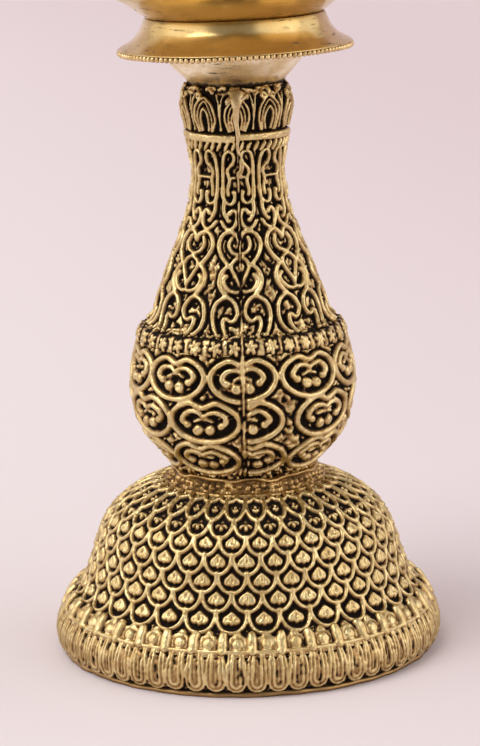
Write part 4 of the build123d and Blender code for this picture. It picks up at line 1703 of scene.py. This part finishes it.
# ---------------------------------------------------------------- oil head
def wall_profile(outside: np.ndarray, inside: np.ndarray) -> np.ndarray:
    """One closed profile from an outside line going up and an inside line going up."""
    return np.vstack([outside, inside[::-1]])


@dataclass
class OilHead:
    """The oil head: turned cup, flared drip skirt with a beaded edge, wick dish and post."""

    skirt_beads: int = 128
    bead_radius: float = 0.95
    spouts: int = 5
    spout_reach: float = 8.0
    spout_tip: float = 3.6
    spout_start: float = 214.5
    rim_radius: float = 48.3
    dish_wall: float = 1.7
    dish_floor: float = 1.8
    dish_bore: float = 4.6

    def build(self) -> None:
        """Makes and dresses every piece of the oil head."""
        self.cup()
        self.skirt()
        self.beading()
        self.dish()
        self.post()

    def cup(self) -> None:
        """The cup: a flared, turned wall with a drilled floor."""
        outside = smooth(
            [
                (15.4, HEAD_SEAT + 0.02), (16.5, 190.4), (19.4, 193.4), (23.0, 197.6), (25.4, 202.5),
                (25.95, 207.0), (25.95, DISH_FOOT - 0.05),
            ],
            0.8,
        )
        inside = np.array(
            [(4.3, 194.7), (17.5, 194.7), (22.0, 199.0), (24.0, 203.5), (24.0, DISH_FOOT - 0.05)]
        )
        start = np.array([(4.3, HEAD_SEAT + 0.02)])
        profile = np.vstack([start, outside, inside[::-1]])
        ages = np.concatenate(
            [
                [0.9], 0.28 + 0.62 * np.exp(-((outside[:, 1] - HEAD_SEAT) / 2.6) ** 2),
                np.full(len(inside), 0.5),
            ]
        )
        fit(turned("cup", profile, 220, ages, 0.08, True), "head", "polished_brass", STAINED, "bowl_cup")

    def skirt(self) -> None:
        """The drip skirt: a thin flared wall, concave outside, its rim rolled a little."""
        outside = smooth(
            [
                (38.35, 200.9), (37.5, 201.6), (34.0, 203.6), (31.3, 206.6), (29.7, 210.2),
                (29.2, DISH_FOOT + 0.1),
            ],
            0.6,
        )
        inside = smooth(
            [(36.6, 200.8), (33.2, 202.3), (29.8, 204.9), (27.6, 208.2), (26.5, DISH_FOOT - 0.3)], 0.8
        )
        profile = wall_profile(outside, inside)
        ages = np.concatenate(
            [0.42 + 0.32 * np.exp(-((outside[:, 1] - DISH_FOOT) / 1.1) ** 2), np.full(len(inside), 0.65)]
        )
        fit(
            turned("drip_skirt_wall", profile, 260, ages, 0.12, True), "head", "polished_brass", POLISHED,
            "drip_skirt",
        )

    def beading(self) -> None:
        """The beaded wire under the skirt's rim: round beads touching along a thin core wire."""
        angle = turns(self.skirt_beads, 0.5)
        wave = 0.12 * np.sin(3 * angle) + 0.08 * np.sin(7 * angle + 1)
        centres = lean_head(place(37.6 + 0.0 * angle, angle, 200.05 + wave))
        fit(
            beads("skirt_beading", centres, self.bead_radius), "head", "polished_brass", BEADING,
            "skirt_bead_wire",
        )
        turn = turns(8)
        core = np.column_stack([37.5 + 0.55 * np.cos(turn), 200.15 + 0.55 * np.sin(turn)])
        fit(
            turned("skirt_bead_core", core, 200, np.full(8, 0.85), 0.0, True), "head", "polished_brass",
            BEADING, "skirt_bead_wire",
        )

    def dish(self) -> None:
        """The wick dish: a turned bowl whose wall is drawn out into five spouts.

        The wall is a grid of angle and rise. Where a spout lies, the radius is pushed out to the spout's
        trough, a half cone that narrows to its tip, so a point goes out by the spout's reach where the angle
        is near its middle line and the rise is near the rim.
        """
        steps_round, steps_up = 720, 46
        angle = turns(steps_round)
        rise = np.linspace(0.0, 1.0, steps_up)
        shape = smooth(
            [
                (28.6, DISH_FOOT), (34.6, 215.4), (40.8, 219.7), (45.6, 225.6),
                (self.rim_radius, DISH_RIM - 0.3),
            ],
            0.5,
        )
        path = np.linspace(0, len(shape) - 1, steps_up)
        base_r = np.interp(path, np.arange(len(shape)), shape[:, 0])
        base_z = np.interp(path, np.arange(len(shape)), shape[:, 1])

        def wall(inset: float) -> np.ndarray:
            """The dish's wall surface, moved inwards by inset.

            Args:
                inset: How far inwards it is moved.

            Returns:
                The points of the surface, rise by angle.
            """
            pitch = TURN / self.spouts
            away = (angle + pitch / 2) % pitch - pitch / 2
            narrow = np.abs(away)[None] * base_r[:, None]
            depth = np.clip((base_z - self.spout_start) / (DISH_RIM - self.spout_start), 0, 1)[:, None]
            half = (self.spout_tip + 2.6) * depth**0.5 + 0.2
            push = np.exp(-((narrow / (half + 1.2)) ** 4)) * depth**1.6
            r = (base_r - inset)[:, None] + self.spout_reach * push
            z = np.broadcast_to(base_z[:, None], r.shape) + inset * 0.35 * (1 - rise[:, None])
            return place(r, angle[None], z)

        outside = wall(0.0)
        inside = wall(self.dish_wall)[::-1]
        inside[..., 2] = np.maximum(inside[..., 2], DISH_FOOT + self.dish_floor)
        bore = np.full((1, 1), self.dish_bore)
        floor_in = place(bore, angle[None], np.full((1, 1), DISH_FOOT + self.dish_floor))
        floor_out = place(bore, angle[None], np.full((1, 1), DISH_FOOT))
        grid = np.concatenate([floor_out, outside, inside, floor_in])
        ages = np.concatenate(
            [[0.7], 0.45 + 0.25 * np.exp(-((base_z - DISH_FOOT) / 1.0) ** 2), np.full(steps_up, 0.6), [0.9]]
        )
        points = lean_head(grid.reshape(-1, 3))
        piece = solid(
            "wick_dish", points, [sheet_faces(len(grid), steps_round, True, True)],
            np.repeat(ages, steps_round),
        )
        fit(piece, "head", "polished_brass", POLISHED, "oil_dish")

    def post(self) -> None:
        """The post in the dish: a flange, a waist and a bead under its flat top, with a drilled bore."""
        floor = DISH_FOOT + self.dish_floor
        outside = smooth(
            [
                (9.4, floor + 0.9), (9.1, floor + 2.1), (7.2, floor + 3.0), (5.6, floor + 7.0),
                (5.4, floor + 11.5), (6.0, floor + 16.0), (7.0, floor + 18.0), (6.1, floor + 19.4),
                (6.5, floor + 20.6), (7.55, floor + 21.6), (7.5, POST_TOP - 0.02),
            ],
            0.5,
        )
        profile = np.vstack(
            [
                [(0.0, floor - 3.5), (4.85, floor - 3.5), (4.85, floor), (9.35, floor)], outside,
                [(3.05, POST_TOP - 0.02), (3.05, POST_TOP - 8.2), (0.0, POST_TOP - 8.2)],
            ]
        )
        ages = np.full(len(profile), 0.35)
        ages[:6] = 0.8
        fit(turned("wick_post", profile, 120, ages, 0.03), "head", "polished_brass", POLISHED, "dish_post")


# ---------------------------------------------------------------- finial
@dataclass
class Finial:
    """The finial: a small foot, a lobed pot, a beaded lip and a spire."""

    lobes: int = 14
    lip_beads: int = 22

    def build(self) -> None:
        """Makes and dresses the finial and its beads."""
        base = POST_TOP
        top = top_of("finial_body")
        size = top - base
        outer = [
            (7.5, base + 0.02), (7.4, base + 1.9), (6.2, base + 3.4), (5.3, base + 6.0), (5.4, base + 8.6),
            (7.6, base + 11.5), (10.9, base + 16.2), (11.9, base + 21.0), (10.7, base + 25.8),
            (7.4, base + 29.6), (5.2, base + 32.2), (5.2, base + 33.4), (7.2, base + 34.8),
            (7.3, base + 36.4), (4.5, base + 36.7), (4.9, base + 41.0), (4.6, base + 45.0),
            (3.6, base + 50.5), (2.5, base + 56.5), (1.55, base + 62.0), (1.45, base + 64.0),
            (2.0, base + 65.8), (1.3, base + 68.0), (0.0, top - 0.02),
        ]
        profile = np.vstack(
            [[(0.0, base + 9.0), (3.05, base + 9.0), (3.05, base + 0.02)], smooth(outer, 0.6)]
        )
        profile[-1, 0] = 0.0
        profile[:, 0] = np.maximum(profile[:, 0], 0.0)
        profile[3:-1, 0] = np.maximum(profile[3:-1, 0], 0.15)
        segments = 168
        body = turned("finial", profile, segments, np.full(len(profile), 0.35))
        points = np.empty(len(body.data.vertices) * 3)
        body.data.vertices.foreach_get("co", points)
        points = points.reshape(-1, 3)
        radius = np.hypot(points[:, 0], points[:, 1])
        angle = np.arctan2(points[:, 0], -points[:, 1])
        share = (points[:, 2] / MM - base) / size
        window = np.exp(-(((share - 0.27) / 0.10) ** 4))
        groove = np.abs(np.sin(angle * self.lobes / 2)) ** 0.6
        spire = np.exp(-(((share - 0.70) / 0.13) ** 4)) * np.abs(np.sin(angle * 4)) ** 0.7
        cut = (
            0.9 * (1 - groove) * window + 0.45 * (1 - spire) * np.exp(-(((share - 0.70) / 0.13) ** 4))
        ) * MM
        shrink = np.where(radius > 3.2 * MM, 1 - cut / np.maximum(radius, 1e-6), 1.0)
        points[:, :2] *= shrink[:, None]
        body.data.vertices.foreach_set("co", points.ravel())
        ages = np.clip(0.25 + cut / MM * 0.9, 0, 1)
        body.data.attributes["age"].data.foreach_set("value", ages)
        fit(body, "finial", "antique_brass", ANTIQUE, "finial_body")
        turn = turns(self.lip_beads, 0.5)
        centres = place(6.35 + 0 * turn, turn, base + 37.5)
        fit(beads("finial_beading", centres, 0.98), "finial", "polished_brass", BEADING, "finial_bead_wire")


# ---------------------------------------------------------------- fasteners
def threaded(name: str, radius: float, low: float, high: float, thread: float, chamfer: float) -> Piece:
    """A threaded rod: the radius falls by a rounded saw-tooth of the height plus the angle's share of the
    thread's step.

    Args:
        name: Name of the piece.
        radius: Crest radius.
        low: Height of its foot.
        high: Height of its top.
        thread: Rise of the thread in one turn.
        chamfer: Bevel at the ends.

    Returns:
        The new object.
    """
    segments = ROD_SIDES
    rows = int((high - low) / ROD_STEP)
    height = np.linspace(low, high, rows)
    angle = turns(segments)
    phase = (height[:, None] / thread - angle[None] / TURN) % 1.0
    depth = 0.52 * thread * np.clip(np.abs(phase - 0.5) * 2.3 - 0.15, 0.0, 1.0)
    ends = np.minimum(height - low, high - height)[:, None]
    r = np.minimum(radius - depth, radius - chamfer + ends)
    grid = place(np.maximum(r, 0.5), angle[None], np.broadcast_to(height[:, None], r.shape))
    points = np.vstack([grid.reshape(-1, 3), [0, 0, low], [0, 0, high]])
    caps = [
        fan(rows * segments, 0, segments, False),
        fan(rows * segments + 1, (rows - 1) * segments, segments, True),
    ]
    return solid(name, points, [sheet_faces(rows, segments, False, True)] + caps, np.full(len(points), 0.4))


@dataclass
class Fasteners:
    """The studs, plugs, washer and nut. A stud is given as its node, body, crest radius, thread step and end
    bevel."""

    studs: tuple[tuple[str, str, float, float, float], ...] = (
        ("stem_stud", "stand", 4.0, 1.25, 0.6), ("head_stud", "head_riser", 3.95, 1.5, 0.6),
        ("finial_stud", "finial_riser", 2.95, 1.0, 0.5),
    )
    washer_bore: float = 4.4
    washer_reach: float = 9.0
    nut_flats: float = 6.5
    sides: int = 96

    def build(self) -> None:
        """Makes and dresses the fasteners."""
        for node, body, radius, thread, chamfer in self.studs:
            rod = threaded(f"{node}_rod", radius, foot_of(node), top_of(node), thread, chamfer)
            fit(rod, body, "plain_brass", DULL, node)
        self.washer()
        self.nut()
        for node in ("stem_foot_plug", "stem_head_plug"):
            dress(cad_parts[node], DULL)

    def washer(self) -> None:
        """The plain washer, its edges rounded."""
        low, high = foot_of("stud_washer"), top_of("stud_washer")
        bore, edge = self.washer_bore, self.washer_reach
        profile = [
            (bore, low + 0.1), (4.5, low), (8.8, low), (edge, low + 0.2), (edge, high - 0.2), (8.8, high),
            (4.5, high), (bore, high - 0.1),
        ]
        ages = np.full(len(profile), 0.4)
        fit(
            turned("washer", np.array(profile), self.sides, ages), "stand", "zinc_steel", STEEL,
            "stud_washer",
        )

    def nut(self) -> None:
        """The hexagon nut: the radius to its flats, cut back near the faces by a cone, round a bore."""
        low, high = foot_of("stud_nut"), top_of("stud_nut")
        segments = self.sides
        angle = turns(segments)
        flat = self.nut_flats / np.cos((angle + TURN / 12) % (TURN / 6) - TURN / 12)
        profile = [
            (4.3, 0.0), (6.3, 0.0), (7.0, 0.35), (9, 0.8), (9, -0.8), (7.0, -0.35), (6.3, -0.0001),
            (4.3, -0.0001), (4.05, -0.3), (4.05, 0.3),
        ]
        rings = []
        for radius, z in profile:
            height = low + z if z >= 0 else high + z
            ring = np.minimum(flat, radius) if radius > 6.2 else np.full(segments, radius)
            rings.append(place(ring, angle, np.full(segments, height)))
        points = np.concatenate(rings)
        faces = [sheet_faces(len(profile), segments, True, True)]
        fit(
            solid("nut", points, faces, np.full(len(points), 0.35)), "stand", "zinc_steel", STEEL, "stud_nut"
        )


# ---------------------------------------------------------------- stage
@dataclass
class Stage:
    """Floor, light and camera."""

    # painted light: a lit floor tone at the left front and a shaded floor tone far off on the right
    painted_lit_floor: Colour = (0.94, 0.86, 0.865)
    painted_shaded_floor: Colour = (0.80, 0.68, 0.70)
    sky: Colour = (0.95, 0.90, 0.90)
    sky_front: float = 0.40
    sky_side: float = 1.25
    suns: tuple[tuple, ...] = (("sun_left", (-0.5, -0.35, 1.0), 1.05, 40.0),)
    boxes: tuple[tuple, ...] = (
        ("key", (-1.35, -0.4, 1.0), (1.8, 1.8), 4.0, (1.0, 0.98, 0.95)),
        ("fill", (1.15, -0.7, 0.7), (1.5, 1.5), 4.4, (1.0, 0.97, 0.95)),
    )
    lens: float = 135.12
    camera_at: tuple[float, float, float] = (-0.00089, -0.9096, 0.28895)
    tilt: float = math.radians(12.216)
    roll: float = math.radians(1.35)

    def build(self) -> None:
        """Makes the floor, the lights and the camera."""
        self.floor()
        self.world()
        self.lights()
        self.camera()

    def floor(self) -> None:
        """A wide plain floor that curves up far behind the lamp. Its colour carries painted light: paler
        near the left front than far off on the right."""
        across = np.linspace(-9, 9, 3)
        path = np.array([(-4.0, 0.0), (5.0, 0.0), (6.2, 0.25), (7.0, 1.0), (7.3, 2.2), (7.3, 6.0)])
        grid = np.stack(np.broadcast_arrays(across[None], path[:, :1], path[:, 1:]), axis=-1)
        piece = solid("studio_floor", grid.reshape(-1, 3) / MM, [sheet_faces(len(path), 3, False, False)])
        made = bpy.data.materials.new("studio_floor")
        made.use_nodes = True
        tree = made.node_tree
        shader = tree.nodes["Principled BSDF"]
        where = put(tree, "ShaderNodeTexCoord")
        parts = put(tree, "ShaderNodeSeparateXYZ")
        wire(tree, where.outputs["Object"], parts.inputs[0])
        # painted falloff of light across the floor, blending from the lit tone to the shaded tone
        painted_light_falloff = sums(
            tree, "ADD", sums(tree, "MULTIPLY", parts.outputs["X"], 1.1),
            sums(tree, "MULTIPLY", parts.outputs["Y"], 0.28),
        )
        wire(
            tree, colour_mix(tree, steps(tree, painted_light_falloff, -0.35, 0.75), self.painted_lit_floor, self.painted_shaded_floor),
            shader.inputs["Base Color"],
        )
        shader.inputs["Roughness"].default_value = 0.9
        shader.inputs["Specular IOR Level"].default_value = 0.1
        piece.data.materials.append(made)

    def world(self) -> None:
        """A pale sky, brighter at both sides, where the white cloths of the studio hang, than in front and
        behind."""
        world = bpy.data.worlds.new("studio")
        bpy.context.scene.world = world
        world.use_nodes = True
        tree = world.node_tree
        back = tree.nodes["Background"]
        where = put(tree, "ShaderNodeTexCoord")
        parts = put(tree, "ShaderNodeSeparateXYZ")
        wire(tree, where.outputs["Generated"], parts.inputs[0])
        side = steps(tree, sums(tree, "ABSOLUTE", parts.outputs["X"]), 0.25, 0.85)
        level = put(tree, "ShaderNodeMapRange")
        level.inputs["To Min"].default_value = self.sky_front
        level.inputs["To Max"].default_value = self.sky_side
        wire(tree, side, level.inputs["Value"])
        back.inputs["Color"].default_value = (*self.sky, 1.0)
        wire(tree, level.outputs["Result"], back.inputs["Strength"])

    def lights(self) -> None:
        """A soft sun for the even floor, and soft boxes that only the metal mirrors."""
        scene = bpy.context.scene
        for name, at, power, spread in self.suns:
            lamp = bpy.data.lights.new(name, "SUN")
            lamp.energy = power
            lamp.angle = math.radians(spread)
            holder = bpy.data.objects.new(name, lamp)
            holder.rotation_euler = (-Vector(at)).to_track_quat("-Z", "Y").to_euler()
            scene.collection.objects.link(holder)
        for name, at, size, power, tint in self.boxes:
            lamp = bpy.data.lights.new(name, "AREA")
            lamp.shape = "RECTANGLE"
            lamp.size, lamp.size_y = size
            lamp.energy = power
            lamp.color = tint
            holder = bpy.data.objects.new(name, lamp)
            holder.location = at
            holder.rotation_euler = (
                Vector((0.0, 0.0, 0.12)) - Vector(at)
            ).to_track_quat("-Z", "Y").to_euler()
            holder.visible_diffuse = False
            scene.collection.objects.link(holder)

    def camera(self) -> None:
        """A long lens a little above the lamp, looking slightly down and turned a degree about its own line
        of sight."""
        lens = bpy.data.cameras.new("camera")
        lens.lens = self.lens
        lens.sensor_width = 36.0
        lens.clip_start, lens.clip_end = 0.05, 60.0
        holder = bpy.data.objects.new("camera", lens)
        right = Vector((1.0, 0.0, 0.0))
        up = Vector((0.0, math.sin(self.tilt), math.cos(self.tilt)))
        back = right.cross(up)
        c, s = math.cos(self.roll), math.sin(self.roll)
        columns = (right * c - up * s, right * s + up * c, back)
        turn = Matrix([[columns[j][i] for j in range(3)] for i in range(3)])
        holder.matrix_world = Matrix.Translation(self.camera_at) @ turn.to_4x4()
        bpy.context.scene.collection.objects.link(holder)
        bpy.context.scene.camera = holder


def main() -> None:
    """Builds the lamp and its stage."""
    logging.basicConfig(level=logging.INFO, format="%(name)s %(message)s")
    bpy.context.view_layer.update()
    patina_group()
    scratch_group()
    stage = Stage()
    stage.build()
    for assembly in (Foot(), Collar(), Stem(), OilHead(), Finial(), Fasteners()):
        log.info("building %s", type(assembly).__name__)
        assembly.build()
    bpy.context.scene.view_settings.view_transform = "Standard"
    bpy.context.view_layer.update()


if __name__ == "__main__":
    main()
